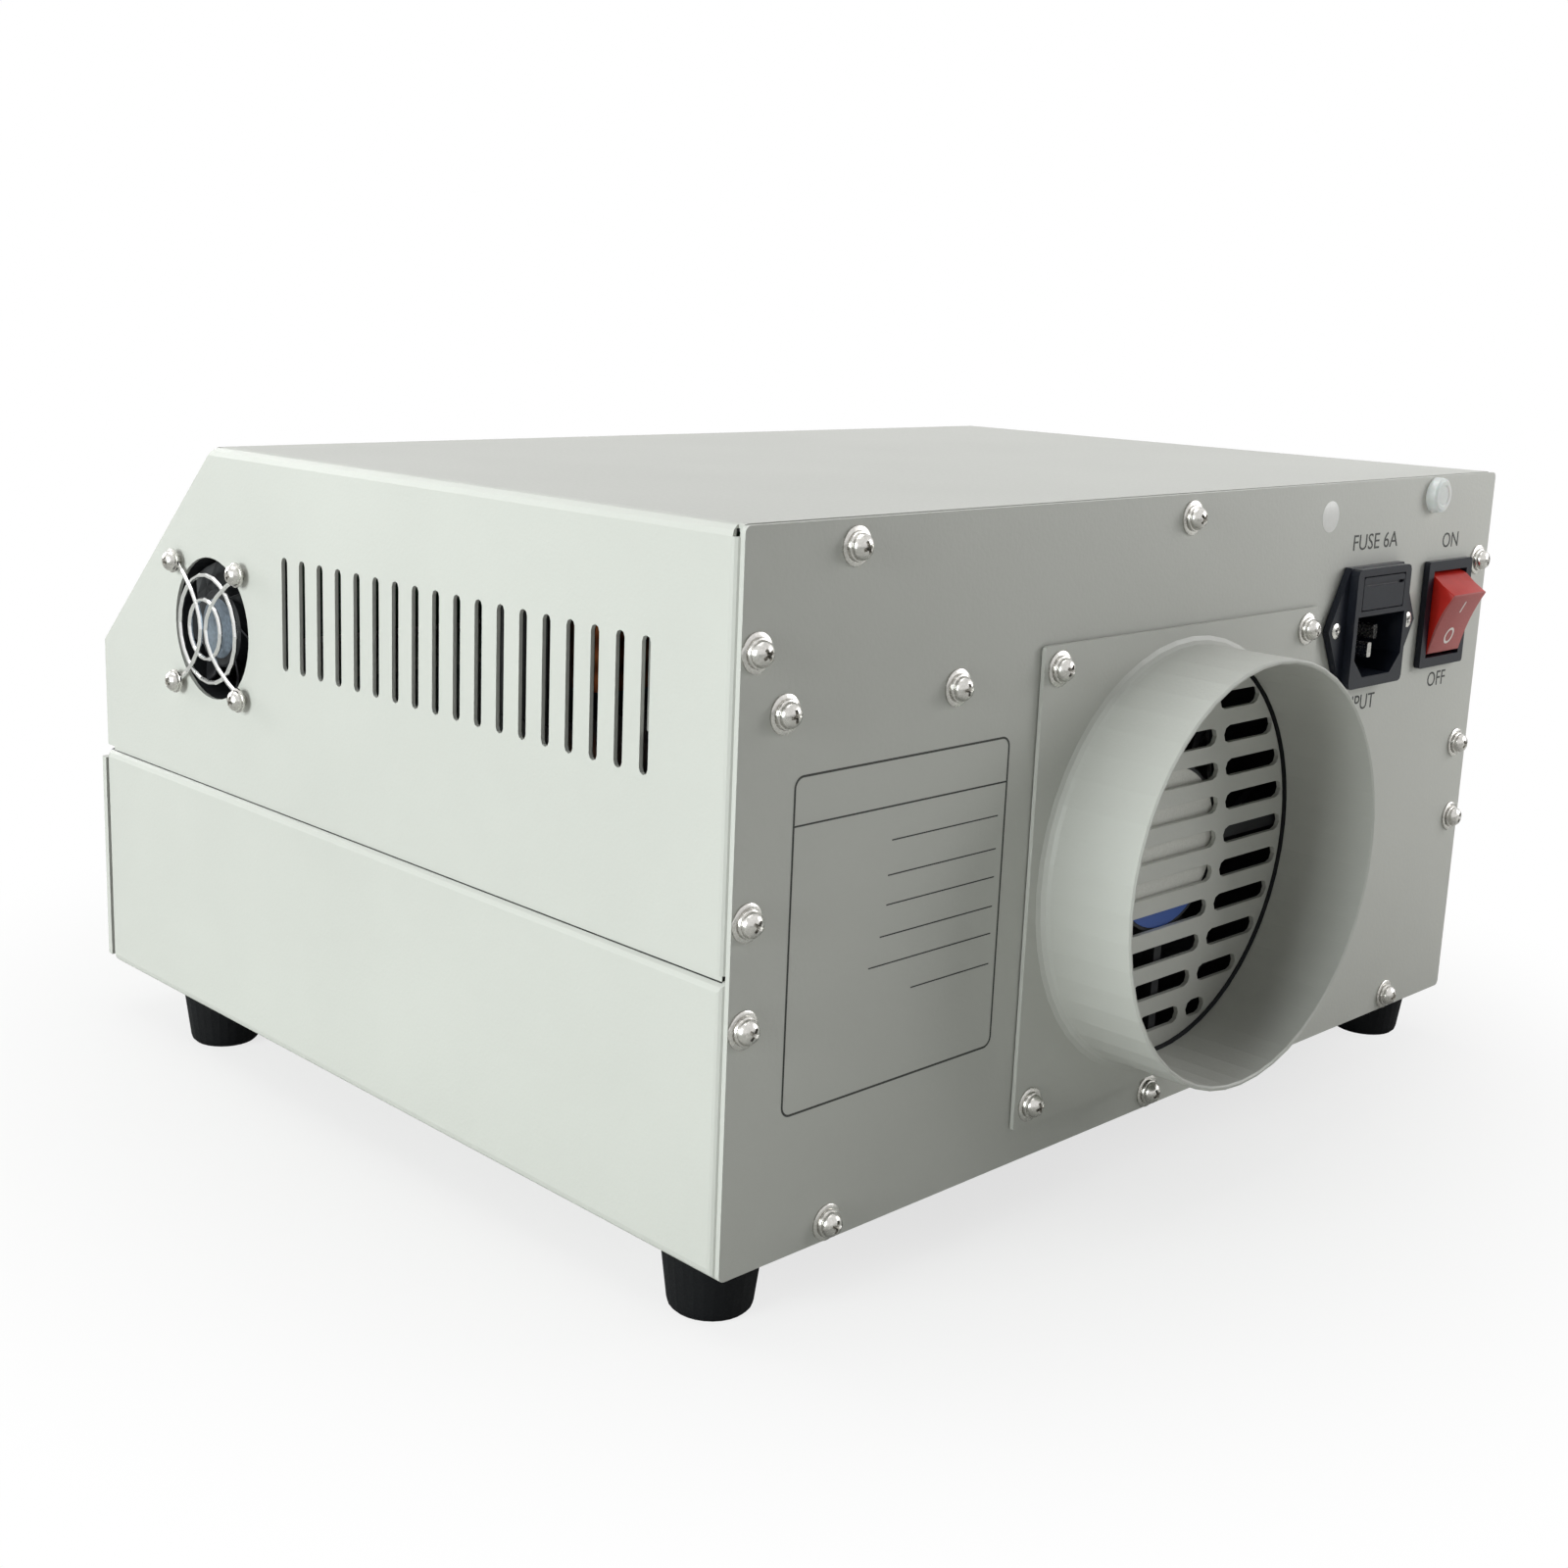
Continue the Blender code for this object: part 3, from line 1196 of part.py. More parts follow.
def heaters():
    """Polished reflector, two lamp holders under it, and the quartz lamps across them."""
    edge = CHAMBER_INNER - FIT
    front = CHAMBER_FRONT + CHAMBER_SHEET + FIT
    back = CHAMBER_BACK - CHAMBER_SHEET - FIT
    top = REFLECTOR_Z + CHAMBER_SHEET
    reflector = piece(
        "reflector", block("reflector", (-edge, front, REFLECTOR_Z), (edge, back, top)), POLISHED
    )
    for number, y in enumerate(lamp_places()):
        ridge = plate(
            f"reflector_ridge_{number}",
            [[(-RIDGE_HALF_WIDTH, 0), (0, -RIDGE_DEPTH), (RIDGE_HALF_WIDTH, 0), (0, CHAMBER_SHEET / 2)]],
            2 * (HOLDER_X - RIDGE_END_GAP),
        )
        join(reflector, tool(ridge, at=(0, y, REFLECTOR_Z + CHAMBER_SHEET / 4), turn=UPRIGHT_ALONG))
    bottom = LAMP_Z - LAMP_CAP_RADIUS - HOLDER_SHEET
    for side, sign in (("left", -1), ("right", 1)):
        outline = rounded(back - front, REFLECTOR_Z - FIT - bottom)
        middle = (REFLECTOR_Z - FIT + bottom) / 2
        holes = [
            circle(LAMP_CAP_RADIUS + FIT, 20, at=(y - (front + back) / 2, LAMP_Z - middle)) for y in lamp_places()
        ]
        piece(
            f"lamp_holder_{side}", plate(f"lamp_holder_{side}", [outline, *holes], HOLDER_SHEET), STAINLESS,
            at=(sign * HOLDER_X, (front + back) / 2, middle), turn=UPRIGHT_ALONG,
        )
    half = CHAMBER_INNER - LAMP_END_GAP
    neck = half - LAMP_CAP_LENGTH
    for number, y in enumerate(lamp_places(), start=1):
        name = f"heating_lamp_{number}"
        profile = [(0, half), (LAMP_CAP_RADIUS, half), (LAMP_CAP_RADIUS, neck), (LAMP_RADIUS, neck)]
        profile += [(radius, -height) for radius, height in reversed(profile)]
        spin(piece(name, turned(name, profile), QUARTZ, at=(0, y, LAMP_Z), turn=FACING_RIGHT), 16)


def control_panel():
    """Front lip and sloping panel in one bent sheet, with the screen opening, key holes and studs."""
    edge = HALF_WIDTH - SHEET - FIT
    shape = bmesh.new()
    lip_bottom = DRAWER_FRONT_TOP + DRAWER_GAP / 2
    profile = [(-BODY_DEPTH, lip_bottom), (-BODY_DEPTH, LIP_TOP)]
    profile.append((-BODY_DEPTH + SLOPE_RUN - FIT, BODY_HEIGHT - FIT * SLOPE_RISE / SLOPE_RUN))
    line = [shape.verts.new((-edge, y, z)) for y, z in profile]
    run = [shape.edges.new(pair) for pair in zip(line, line[1:])]
    grown = bmesh.ops.extrude_edge_only(shape, edges=run)["geom"]
    bmesh.ops.translate(
        shape, verts=[g for g in grown if isinstance(g, bmesh.types.BMVert)], vec=(2 * edge, 0, 0)
    )
    bend = [e for e in shape.edges if all(abs(v.co.z - LIP_TOP) < 1e-6 for v in e.verts)]
    bmesh.ops.bevel(
        shape, geom=bend, offset=0.002, offset_type="OFFSET", affect="EDGES", segments=3, profile=0.5, material=-1
    )
    panel = piece("control_panel", finished_mesh("control_panel", shape), PAINT)
    wall = panel.modifiers.new("sheet", "SOLIDIFY")
    wall.thickness = SHEET
    wall.offset = -1
    wall.use_even_offset = True
    for side, sign in (("left", -1), ("right", 1)):
        low_x, high_x = sorted((sign * (HALF_WIDTH - PANEL_LIP_NOTCH), sign * (HALF_WIDTH + CUT)))
        cut(panel, tool(block(
            "lip_notch_" + side, (low_x, -BODY_DEPTH - CUT, lip_bottom - CUT),
            (high_x, -BODY_DEPTH + SHEET + CUT, SEAM_HEIGHT + SEAM_GAP),
        )))
    opening = rounded(SCREEN_WIDTH, SCREEN_HEIGHT, 0.0015, steps=2)
    cut(panel, tool(
        plate("screen_opening", [opening], 2 * SHEET + 2 * CUT), panel_datum,
        at=(SCREEN_X, SCREEN_Y, -SHEET / 2),
    ))
    for x, y in key_places():
        cut(panel, tool(rod("key_hole", KEY_RADIUS + FIT, -SHEET - CUT, CUT, steps=24), panel_datum, at=(x, y, 0)))
    for x, y in stud_places():
        join(panel, tool(
            rod("panel_stud", STUD_RADIUS, -BOARD_DEPTH + FIT, -SHEET / 2, steps=12), panel_datum, at=(x, y, 0)
        ))


def key_places():
    return [(FIRST_KEY_X + i * KEY_PITCH, KEY_Y) for i in range(KEY_COUNT)]


def stud_places():
    x = BOARD_WIDTH / 2 - STUD_INSET
    return [(sx * x, y) for sx in (-1, 1) for y in (BOARD_BOTTOM + STUD_INSET, BOARD_TOP - STUD_INSET)]


def panel_electronics():
    """Controller board on the panel's studs, with the display, its cover and the push keys in front."""
    half = BOARD_WIDTH / 2
    board = piece(
        "controller_board",
        block(
            "controller_board", (-half, BOARD_BOTTOM, -BOARD_DEPTH - BOARD_THICKNESS),
            (half, BOARD_TOP, -BOARD_DEPTH),
        ),
        CIRCUIT_BOARD, panel_datum,
    )
    for x, y in key_places():
        side = SNAP_SIDE / 2
        join(board, tool(block(
            "snap_switch", (x - side, y - side, -BOARD_DEPTH - FIT),
            (x + side, y + side, -BOARD_DEPTH + SNAP_HEIGHT),
        ), panel_datum))
    screen_back = -SHEET - FIT - SCREEN_THICKNESS
    piece(
        "screen_cover",
        plate("screen_cover", [rounded(
            SCREEN_WIDTH + 2 * SCREEN_OVERLAP, SCREEN_HEIGHT + 2 * SCREEN_OVERLAP, 0.001, steps=2
        )], SCREEN_THICKNESS),
        DARK_GLASS, panel_datum, at=(SCREEN_X, SCREEN_Y, screen_back + SCREEN_THICKNESS / 2),
    )
    display_x = DISPLAY_WIDTH / 2
    display_y = DISPLAY_HEIGHT / 2
    piece(
        "display_module",
        block(
            "display_module", (-display_x, -display_y, -BOARD_DEPTH + FIT),
            (display_x, display_y, screen_back - FIT), along="Z", radius=0.0015, segments=2,
        ),
        BLACK_PLASTIC, panel_datum, at=(SCREEN_X, SCREEN_Y, 0),
    )
    rim_top = -SHEET - FIT
    rim_bottom = rim_top - KEY_RIM_THICKNESS
    bottom = -BOARD_DEPTH + SNAP_HEIGHT + KEY_TRAVEL + FIT
    edge = 0.0005
    for number, (x, y) in enumerate(key_places(), start=1):
        profile = [(0, KEY_STAND_OUT), (KEY_RADIUS - edge, KEY_STAND_OUT), (KEY_RADIUS, KEY_STAND_OUT - edge)]
        profile += [(KEY_RADIUS, rim_top), (KEY_RADIUS + KEY_RIM, rim_top), (KEY_RADIUS + KEY_RIM, rim_bottom)]
        profile += [(KEY_RADIUS / 2, rim_bottom), (KEY_RADIUS / 2, bottom), (0, bottom)]
        name = f"key_{number}"
        spin(piece(name, turned(name, profile), GREY_PLASTIC, panel_datum, at=(x, y, 0)), 18)


def electronics_shelf():
    """Folded shelf that stands on the base's lips and carries the power parts over the chamber."""
    front = -SHELF_FRONT_FROM_REAR
    back = -SHELF_REAR_FROM_REAR
    foot_z = SEAM_HEIGHT + FIT
    half = HALF_WIDTH - SHELF_SIDE_GAP
    shelf = piece(
        "electronics_shelf",
        block(
            "electronics_shelf", (-half, front, foot_z), (half, back, SHELF_Z),
            along="Y", side=(0, 0, 1), radius=BEND_RADIUS,
        ),
        ZINC,
    )
    inner = half - SHEET
    cut(shelf, tool(block(
        "shelf_inside", (-inner, front - CUT, foot_z - CUT), (inner, back + CUT, SHELF_Z - SHEET),
        along="Y", side=(0, 0, 1), radius=BEND_RADIUS - SHEET,
    )))


def transformer():
    """Laminated E-I core with its winding on the middle leg, standing on the shelf."""
    floor = SHELF_Z + FIT
    at = (TRANSFORMER_X, TRANSFORMER_Y, floor)
    half_x = CORE_WIDTH / 2
    half_y = CORE_DEPTH / 2
    core = piece(
        "transformer_core",
        block("transformer_core", (-half_x, -half_y, 0), (half_x, half_y, CORE_HEIGHT)),
        STEEL, at=at,
    )
    window_in = CORE_LEG
    window_out = half_x - CORE_LEG
    for side, sign in (("left", -1), ("right", 1)):
        low_x, high_x = sorted((sign * window_in, sign * window_out))
        cut(core, tool(block(
            f"core_window_{side}", (low_x, -half_y - CUT, CORE_LEG),
            (high_x, half_y + CUT, CORE_HEIGHT - CORE_LEG),
        ), at=at))
    coil_x = window_out - FIT
    coil_y = half_y + WINDING_OVERHANG
    low = CORE_LEG + FIT
    high = CORE_HEIGHT - CORE_LEG - FIT
    winding = piece(
        "transformer_winding",
        block(
            "transformer_winding", (-coil_x, -coil_y, low), (coil_x, coil_y, high), along="Z", radius=0.004
        ),
        COPPER, at=at,
    )
    hole = (window_in + FIT / 2, half_y + FIT)
    cut(winding, tool(block("winding_bore", (-hole[0], -hole[1], low - CUT), (hole[0], hole[1], high + CUT)), at=at))


def power_parts():
    """Two solid-state relays and the terminal block on the shelf."""
    floor = SHELF_Z + FIT
    for number in range(RELAY_COUNT):
        width, length, height = RELAY_SIZE
        name = f"solid_state_relay_{number + 1}"
        at = (FIRST_RELAY_X + number * RELAY_PITCH, RELAY_Y, floor)
        relay = piece(
            name,
            block(
                name, (-width / 2, -length / 2, 0), (width / 2, length / 2, height),
                along="Z", radius=0.003, segments=2,
            ),
            BLACK_PLASTIC, at=at,
        )
        step_x = width / 2 - RELAY_STEP_SIDE
        for end, sign in (("front", -1), ("rear", 1)):
            low_y, high_y = sorted((sign * (length / 2 - RELAY_STEP_LENGTH), sign * (length / 2 + CUT)))
            cut(relay, tool(block(
                f"{name}_{end}", (-step_x, low_y, height - RELAY_STEP_DEPTH), (step_x, high_y, height + CUT)
            ), at=at))
    width, length, height = TERMINAL_SIZE
    at = (TERMINAL_X, TERMINAL_Y, floor)
    terminals = piece(
        "terminal_block",
        block(
            "terminal_block", (-width / 2, -length / 2, 0), (width / 2, length / 2, height),
            along="Y", side=(0, 0, 1), radius=0.002, segments=2,
        ),
        WHITE_PLASTIC, at=at,
    )
    pitch = length / TERMINAL_WAYS
    for way in range(TERMINAL_WAYS):
        y = -length / 2 + (way + 0.5) * pitch
        half_way = pitch * TERMINAL_WAY_SHARE / 2
        cut(terminals, tool(block(
            "terminal_way", (-width / 2 - CUT, y - half_way, TERMINAL_WAY_FLOOR),
            (width / 2 + CUT, y + half_way, height + CUT),
        ), at=at))


clear_scene()
parts = new_collection("infrared_reflow_oven")
tools = new_collection("tools")
tools.hide_render = True
datum = new_empty("case_datum", at=(0, REAR_FACE_Y, FOOT_HEIGHT))
panel_datum = new_empty("panel_datum", datum, at=(0, -BODY_DEPTH, LIP_TOP), turn=(SLOPE_ANGLE, 0, 0))

PAINT = material("powder_coated_steel", (0.62, 0.63, 0.58), 0.5)
RUBBER = material("black_rubber", (0.01, 0.012, 0.015), 0.8)
FAN_PLASTIC = material("glass_filled_plastic", (0.02, 0.02, 0.022), 0.5)
BLACK_PLASTIC = material("black_plastic", (0.03, 0.034, 0.045), 0.4)
GREY_PLASTIC = material("grey_plastic", (0.25, 0.26, 0.27), 0.45)
WHITE_PLASTIC = material("white_plastic", (0.8, 0.8, 0.78), 0.45)
RED_PLASTIC = material("red_translucent_plastic", (0.55, 0.03, 0.02), 0.25)
CHROME = material("chromed_wire", (0.75, 0.76, 0.78), 0.15, metallic=1.0)
NICKEL = material("nickel_plated_brass", (0.72, 0.70, 0.65), 0.25, metallic=1.0)
ZINC = material("zinc_plated_steel", (0.6, 0.61, 0.62), 0.4, metallic=1.0)
STEEL = material("laminated_steel", (0.25, 0.25, 0.26), 0.5, metallic=1.0)
STAINLESS = material("stainless_steel", (0.6, 0.6, 0.58), 0.3, metallic=1.0)
ALUMINISED = material("aluminised_steel", (0.65, 0.65, 0.66), 0.45, metallic=1.0)
POLISHED = material("polished_aluminium", (0.85, 0.85, 0.86), 0.1, metallic=1.0)
COPPER = material("enamelled_copper", (0.5, 0.2, 0.08), 0.35, metallic=0.8)
QUARTZ = material("quartz_glass", (0.85, 0.85, 0.83), 0.1)
GLASS = material("clear_glass", (0.8, 0.85, 0.85), 0.05)
DARK_GLASS = material("tinted_glass", (0.03, 0.03, 0.035), 0.05)
CERAMIC_WOOL = material("ceramic_fibre", (0.85, 0.83, 0.78), 0.9)
CIRCUIT_BOARD = material("green_circuit_board", (0.02, 0.18, 0.06), 0.4)

base_tray()
top_cover()
rear_panel()
exhaust_duct()
feet()
fans()
fan_bracket()
side_fan_guard()
mains_inlet()
fuse_drawer()
rocker_switch()
drawer_front()
drawer_handle()
drawer_tray()
drawer_slides()
oven_chamber()
heaters()
control_panel()
panel_electronics()
electronics_shelf()
transformer()
power_parts()
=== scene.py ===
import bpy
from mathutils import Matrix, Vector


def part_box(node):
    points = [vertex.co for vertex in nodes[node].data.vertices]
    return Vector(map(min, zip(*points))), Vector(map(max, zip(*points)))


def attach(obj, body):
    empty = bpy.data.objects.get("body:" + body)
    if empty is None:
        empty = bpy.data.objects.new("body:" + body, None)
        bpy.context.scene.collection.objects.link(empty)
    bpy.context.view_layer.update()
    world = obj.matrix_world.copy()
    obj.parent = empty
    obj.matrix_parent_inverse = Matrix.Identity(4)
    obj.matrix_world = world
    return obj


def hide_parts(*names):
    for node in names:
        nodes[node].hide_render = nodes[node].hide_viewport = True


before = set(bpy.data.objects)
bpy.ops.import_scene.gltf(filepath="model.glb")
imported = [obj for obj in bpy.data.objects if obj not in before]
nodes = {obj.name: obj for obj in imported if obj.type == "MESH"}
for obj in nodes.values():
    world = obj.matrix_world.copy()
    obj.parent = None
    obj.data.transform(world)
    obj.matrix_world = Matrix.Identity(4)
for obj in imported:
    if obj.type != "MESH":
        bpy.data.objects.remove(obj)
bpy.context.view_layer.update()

import math
import random

import bmesh
import bpy
from mathutils import Matrix, Vector
from mathutils.bvhtree import BVHTree

scene = bpy.context.scene

# ---------------------------------------------------------------------------------------------
# Camera and studio
# The oven is seen from behind and from its right, a little above the roof. It stands on a sheet
# of white paper, with one broad light on its right side and soft light all round.

camera_data = bpy.data.cameras.new("camera")
camera_data.sensor_width = 36.0
camera_data.lens = 46.378
camera_data.shift_x = 0.0412
camera_data.shift_y = -0.0255
camera_data.clip_start = 0.01
camera = bpy.data.objects.new("camera", camera_data)
camera.location = (0.41844, 0.40642, 0.21390)
camera.rotation_euler = [math.radians(angle) for angle in (77.536, -1.901, 136.770)]
scene.collection.objects.link(camera)
scene.camera = camera


def linear(colour):
    """An sRGB hex colour as linear red, green, blue and alpha."""
    parts = [int(colour[i:i + 2], 16) / 255 for i in (1, 3, 5)]
    return [p / 12.92 if p <= 0.04045 else ((p + 0.055) / 1.055) ** 2.4 for p in parts] + [1.0]


def connect(tree, node, inputs):
    """Each named input of a node gets a value, or a link from the main output of another node."""
    for socket, value in inputs.items():
        if isinstance(value, bpy.types.Node):
            value = next(output for output in value.outputs if output.enabled)
        if isinstance(value, bpy.types.NodeSocket):
            tree.links.new(value, node.inputs[socket])
        else:
            node.inputs[socket].default_value = value


def add(tree, kind, inputs, **settings):
    """A node with its settings and its inputs."""
    made = tree.nodes.new(kind)
    for name, value in settings.items():
        setattr(made, name, value)
    connect(tree, made, inputs)
    return made


def area_light(name, place, target, size, power, colour=(1.0, 1.0, 1.0)):
    """A soft square lamp that faces a point."""
    data = bpy.data.lights.new(name, "AREA")
    data.size = size
    data.energy = power
    data.color = colour
    lamp = bpy.data.objects.new(name, data)
    lamp.location = place
    lamp.rotation_euler = (Vector(target) - Vector(place)).to_track_quat("-Z", "Y").to_euler()
    scene.collection.objects.link(lamp)


area_light("side_softbox", (2.0, 0.0, 0.50), (0.15, 0.1, 0.08), 1.0, 33.5, (0.94, 1.0, 0.99))
area_light("overhead_softbox", (0.1, -0.5, 2.2), (0, 0, 0.1), 1.8, 24)
area_light("front_softbox", (0.5, -2.1, 0.7), (0, -0.1, 0.08), 1.0, 22)
area_light("rear_fill", (-0.50, 0.45, 0.30), (-0.15, 0.13, 0.08), 0.3, 1.45)

# White is seen behind the oven and in its bright metal, and a weaker white lights it.
world = bpy.data.worlds.new("studio")
world.use_nodes = True
scene.world = world
sky = world.node_tree
sky.nodes.clear()
rays = add(sky, "ShaderNodeLightPath", {})
seen = add(
    sky, "ShaderNodeMath", {0: rays.outputs["Is Camera Ray"], 1: rays.outputs["Is Transmission Ray"]},
    operation="MAXIMUM",
)
mirrored = add(sky, "ShaderNodeMath", {0: seen, 1: rays.outputs["Is Glossy Ray"]}, operation="MAXIMUM")
surround = add(sky, "ShaderNodeBackground", {"Color": linear("#FFFFFF"), "Strength": 0.08})
white = add(sky, "ShaderNodeBackground", {"Color": linear("#FFFFFF"), "Strength": 1.0})
backdrop = add(sky, "ShaderNodeMixShader", {0: mirrored, 1: surround, 2: white})
add(sky, "ShaderNodeOutputWorld", {"Surface": backdrop})

sheet = bmesh.new()
bmesh.ops.create_circle(sheet, cap_ends=True, segments=96, radius=6.0)
sheet_mesh = bpy.data.meshes.new("floor")
sheet.to_mesh(sheet_mesh)
sheet.free()
floor = bpy.data.objects.new("floor", sheet_mesh)
scene.collection.objects.link(floor)

# Matt white paper: it holds the shadow under the oven, and is plain white to the eye further out.
paper = bpy.data.materials.new("matt_white_paper")
paper.use_nodes = True
tree = paper.node_tree
tree.nodes.clear()
place = add(tree, "ShaderNodeTexCoord", {})
distance = add(tree, "ShaderNodeVectorMath", {0: place.outputs["Object"]}, operation="LENGTH")
fade = add(
    tree, "ShaderNodeMapRange",
    {"Value": distance.outputs["Value"], "From Min": 0.12, "From Max": 0.30, "To Min": 0.72},
    interpolation_type="SMOOTHSTEP",
)
paper_rays = add(tree, "ShaderNodeLightPath", {})
far_and_seen = add(
    tree, "ShaderNodeMath", {0: fade, 1: paper_rays.outputs["Is Camera Ray"]}, operation="MULTIPLY",
)
sheet_white = add(tree, "ShaderNodeBsdfDiffuse", {"Color": linear("#D9D9D6"), "Roughness": 0.6})
glow = add(tree, "ShaderNodeEmission", {"Color": linear("#FFFFFF"), "Strength": 1.0})
paper_face = add(tree, "ShaderNodeMixShader", {0: far_and_seen, 1: sheet_white, 2: glow})
add(tree, "ShaderNodeOutputMaterial", {"Surface": paper_face})
floor.data.materials.append(paper)

scene.view_settings.view_transform = "Standard"

# ---------------------------------------------------------------------------------------------
# Casing: base tray, top cover, rear panel, exhaust duct, control panel and drawer front
# Folded 1.2 mm steel sheet, powder coated in one light warm grey after folding and welding. The
# insides of the two casings are painted near black: painted shade, so that the slots look dark.


def surface(name):
    """A new material with a Principled surface: the material, its tree, its shader, its coordinates."""
    made = bpy.data.materials.new(name)
    made.use_nodes = True
    made.node_tree.nodes.clear()
    shader = add(made.node_tree, "ShaderNodeBsdfPrincipled", {})
    add(made.node_tree, "ShaderNodeOutputMaterial", {"Surface": shader})
    return made, made.node_tree, shader, add(made.node_tree, "ShaderNodeTexCoord", {}).outputs["Object"]


def dress(finish, *names):
    """The finish on the named parts."""
    for name in names:
        nodes[name].data.materials.clear()
        nodes[name].data.materials.append(finish)


def powder_coat(name):
    """A powder coat's material: the material, its tree, its shader, its coordinates and its tone."""
    coat, tree, shader, where = surface(name)
    peel = add(tree, "ShaderNodeTexNoise", {"Vector": where, "Scale": 1000 / 0.9, "Detail": 3.0})
    cloud = add(tree, "ShaderNodeTexNoise", {"Vector": where, "Scale": 1000 / 60, "Detail": 2.0})
    cloudy = add(
        tree, "ShaderNodeMix", {"Factor": cloud, 6: linear("#C3C4BE"), 7: linear("#CDCEC8")},
        data_type="RGBA",
    )
    sheen = add(
        tree, "ShaderNodeMapRange",
        {"Value": peel, "From Min": 0.3, "From Max": 0.7, "To Min": 0.40, "To Max": 0.50},
    )
    relief = add(tree, "ShaderNodeBump", {"Height": peel, "Distance": 0.00005})
    connect(tree, shader, {"Base Color": cloudy, "Roughness": sheen, "Normal": relief})
    return coat, tree, shader, where, cloudy


cover_low, cover_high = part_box("top_cover")
right_edge = cover_high.x
body_top = cover_high.z
body_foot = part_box("base_tray")[0].z
body_height = body_top - body_foot
rear_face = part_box("rear_panel")[1].y

# Polyester powder coat: fine orange peel that breaks up reflections, and a faint cloudy tone. The
# shell's inner faces, those a coat's depth within its outline, are painted near black as painted
# shade, so that its slots look dark and deep.
COAT_DEPTH = 0.0010
FLANGE_COAT_DEPTH = 0.0013
shell_coat_with_painted_shade, tree, shader, where, cloudy = powder_coat("polyester_powder_coat")
corner = add(tree, "ShaderNodeSeparateXYZ", {"Vector": where})
from_middle = add(tree, "ShaderNodeMath", {0: corner.outputs["X"]}, operation="ABSOLUTE")
painted_shade_mask = 1.0
for measure, side_of, limit in (
    (from_middle, "LESS_THAN", right_edge - COAT_DEPTH),
    (corner.outputs["Z"], "LESS_THAN", body_top - COAT_DEPTH),
    (corner.outputs["Z"], "GREATER_THAN", body_foot + COAT_DEPTH),
    (corner.outputs["Y"], "LESS_THAN", cover_high.y - FLANGE_COAT_DEPTH),
):
    within = add(tree, "ShaderNodeMath", {0: measure, 1: limit}, operation=side_of)
    painted_shade_mask = add(tree, "ShaderNodeMath", {0: painted_shade_mask, 1: within}, operation="MULTIPLY")
# Painted shade: the inner faces take a near-black colour in place of the shade that falls there.
coat_and_painted_shade_tone = add(
    tree, "ShaderNodeMix", {"Factor": painted_shade_mask, 6: cloudy, 7: linear("#1C1C1B")}, data_type="RGBA",
)
connect(tree, shader, {"Base Color": coat_and_painted_shade_tone})
dress(shell_coat_with_painted_shade, "base_tray", "top_cover", "rear_panel")

# The parts that stand outside the shell have the same coat all over.
front_coat = powder_coat("polyester_powder_coat_on_the_front")[0]
dress(front_coat, "exhaust_duct", "control_panel", "drawer_front")


def finished(name, shape, finish, body="case", smooth=35):
    """The bmesh as a piece of the oven: its normals out, its finish on, riding on its body."""
    bmesh.ops.remove_doubles(shape, verts=shape.verts, dist=1e-7)
    bmesh.ops.recalc_face_normals(shape, faces=shape.faces)
    mesh = bpy.data.meshes.new(name)
    shape.to_mesh(mesh)
    shape.free()
    mesh.materials.append(finish)
    mesh.shade_smooth()
    mesh.set_sharp_from_angle(angle=math.radians(smooth))
    made = bpy.data.objects.new(name, mesh)
    scene.collection.objects.link(made)
    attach(made, body)
    return made


def add_block(shape, size, middle):
    """A box added to the shape."""
    before = set(shape.verts)
    bmesh.ops.create_cube(shape, size=1)
    fresh = [v for v in shape.verts if v not in before]
    bmesh.ops.scale(shape, verts=fresh, vec=size)
    bmesh.ops.translate(shape, verts=fresh, vec=middle)


# A narrow lip is welded behind each side's seam, so that the seam is a shallow groove. It ends
# short of the casing's own ends.
LIP_WALL, LIP_HEIGHT, LIP_SHORT_BY = 0.00022, 0.0070, 0.0030
LIP_BEHIND_SIDE = 0.00135
tray_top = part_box("base_tray")[1].z
lip_size = (LIP_WALL, cover_high.y - cover_low.y - LIP_SHORT_BY, LIP_HEIGHT)
lips = bmesh.new()
for side in (-1, 1):
    lip_x = side * (right_edge - LIP_BEHIND_SIDE)
    add_block(lips, lip_size, (lip_x, (cover_high.y + cover_low.y) / 2, (tray_top + cover_low.z) / 2))
long_edges = [e for e in lips.edges if abs(e.verts[0].co.y - e.verts[1].co.y) > lip_size[1] / 2]
bmesh.ops.bevel(lips, geom=long_edges, affect="EDGES", offset=0.00008, segments=1, profile=0.5, material=-1)
finished("seam_lips", lips, front_coat)

# ---------------------------------------------------------------------------------------------
# Feet
# Four tapered feet of black rubber, moulded with a matt skin. They hold the oven clear of the
# bench, one under each corner of the base tray.

# Moulded nitrile rubber: near black, matt, with a dusty bloom.
rubber, tree, shader, where = surface("moulded_nitrile_rubber")
skin = add(tree, "ShaderNodeTexNoise", {"Vector": where, "Scale": 1000 / 0.5, "Detail": 4.0})
bloom = add(tree, "ShaderNodeTexNoise", {"Vector": where, "Scale": 1000 / 9, "Detail": 3.0})
rubber_tone = add(
    tree, "ShaderNodeMix", {"Factor": bloom, 6: linear("#030406"), 7: linear("#0A0C0F")}, data_type="RGBA",
)
rubber_sheen = add(tree, "ShaderNodeMapRange", {"Value": skin, "To Min": 0.55, "To Max": 0.90})
rubber_relief = add(tree, "ShaderNodeBump", {"Height": skin, "Distance": 0.00006})
connect(tree, shader, {"Base Color": rubber_tone, "Roughness": rubber_sheen, "Normal": rubber_relief})
shader.inputs["Specular IOR Level"].default_value = 0.2
dress(rubber, "foot_front_left", "foot_front_right", "foot_rear_left", "foot_rear_right")

# ---------------------------------------------------------------------------------------------
# Oven chamber and the blanket on its roof
# The chamber is folded and spot welded from aluminised sheet. A blanket of white ceramic fibre
# lies on its roof and keeps the heat from the electronics above.

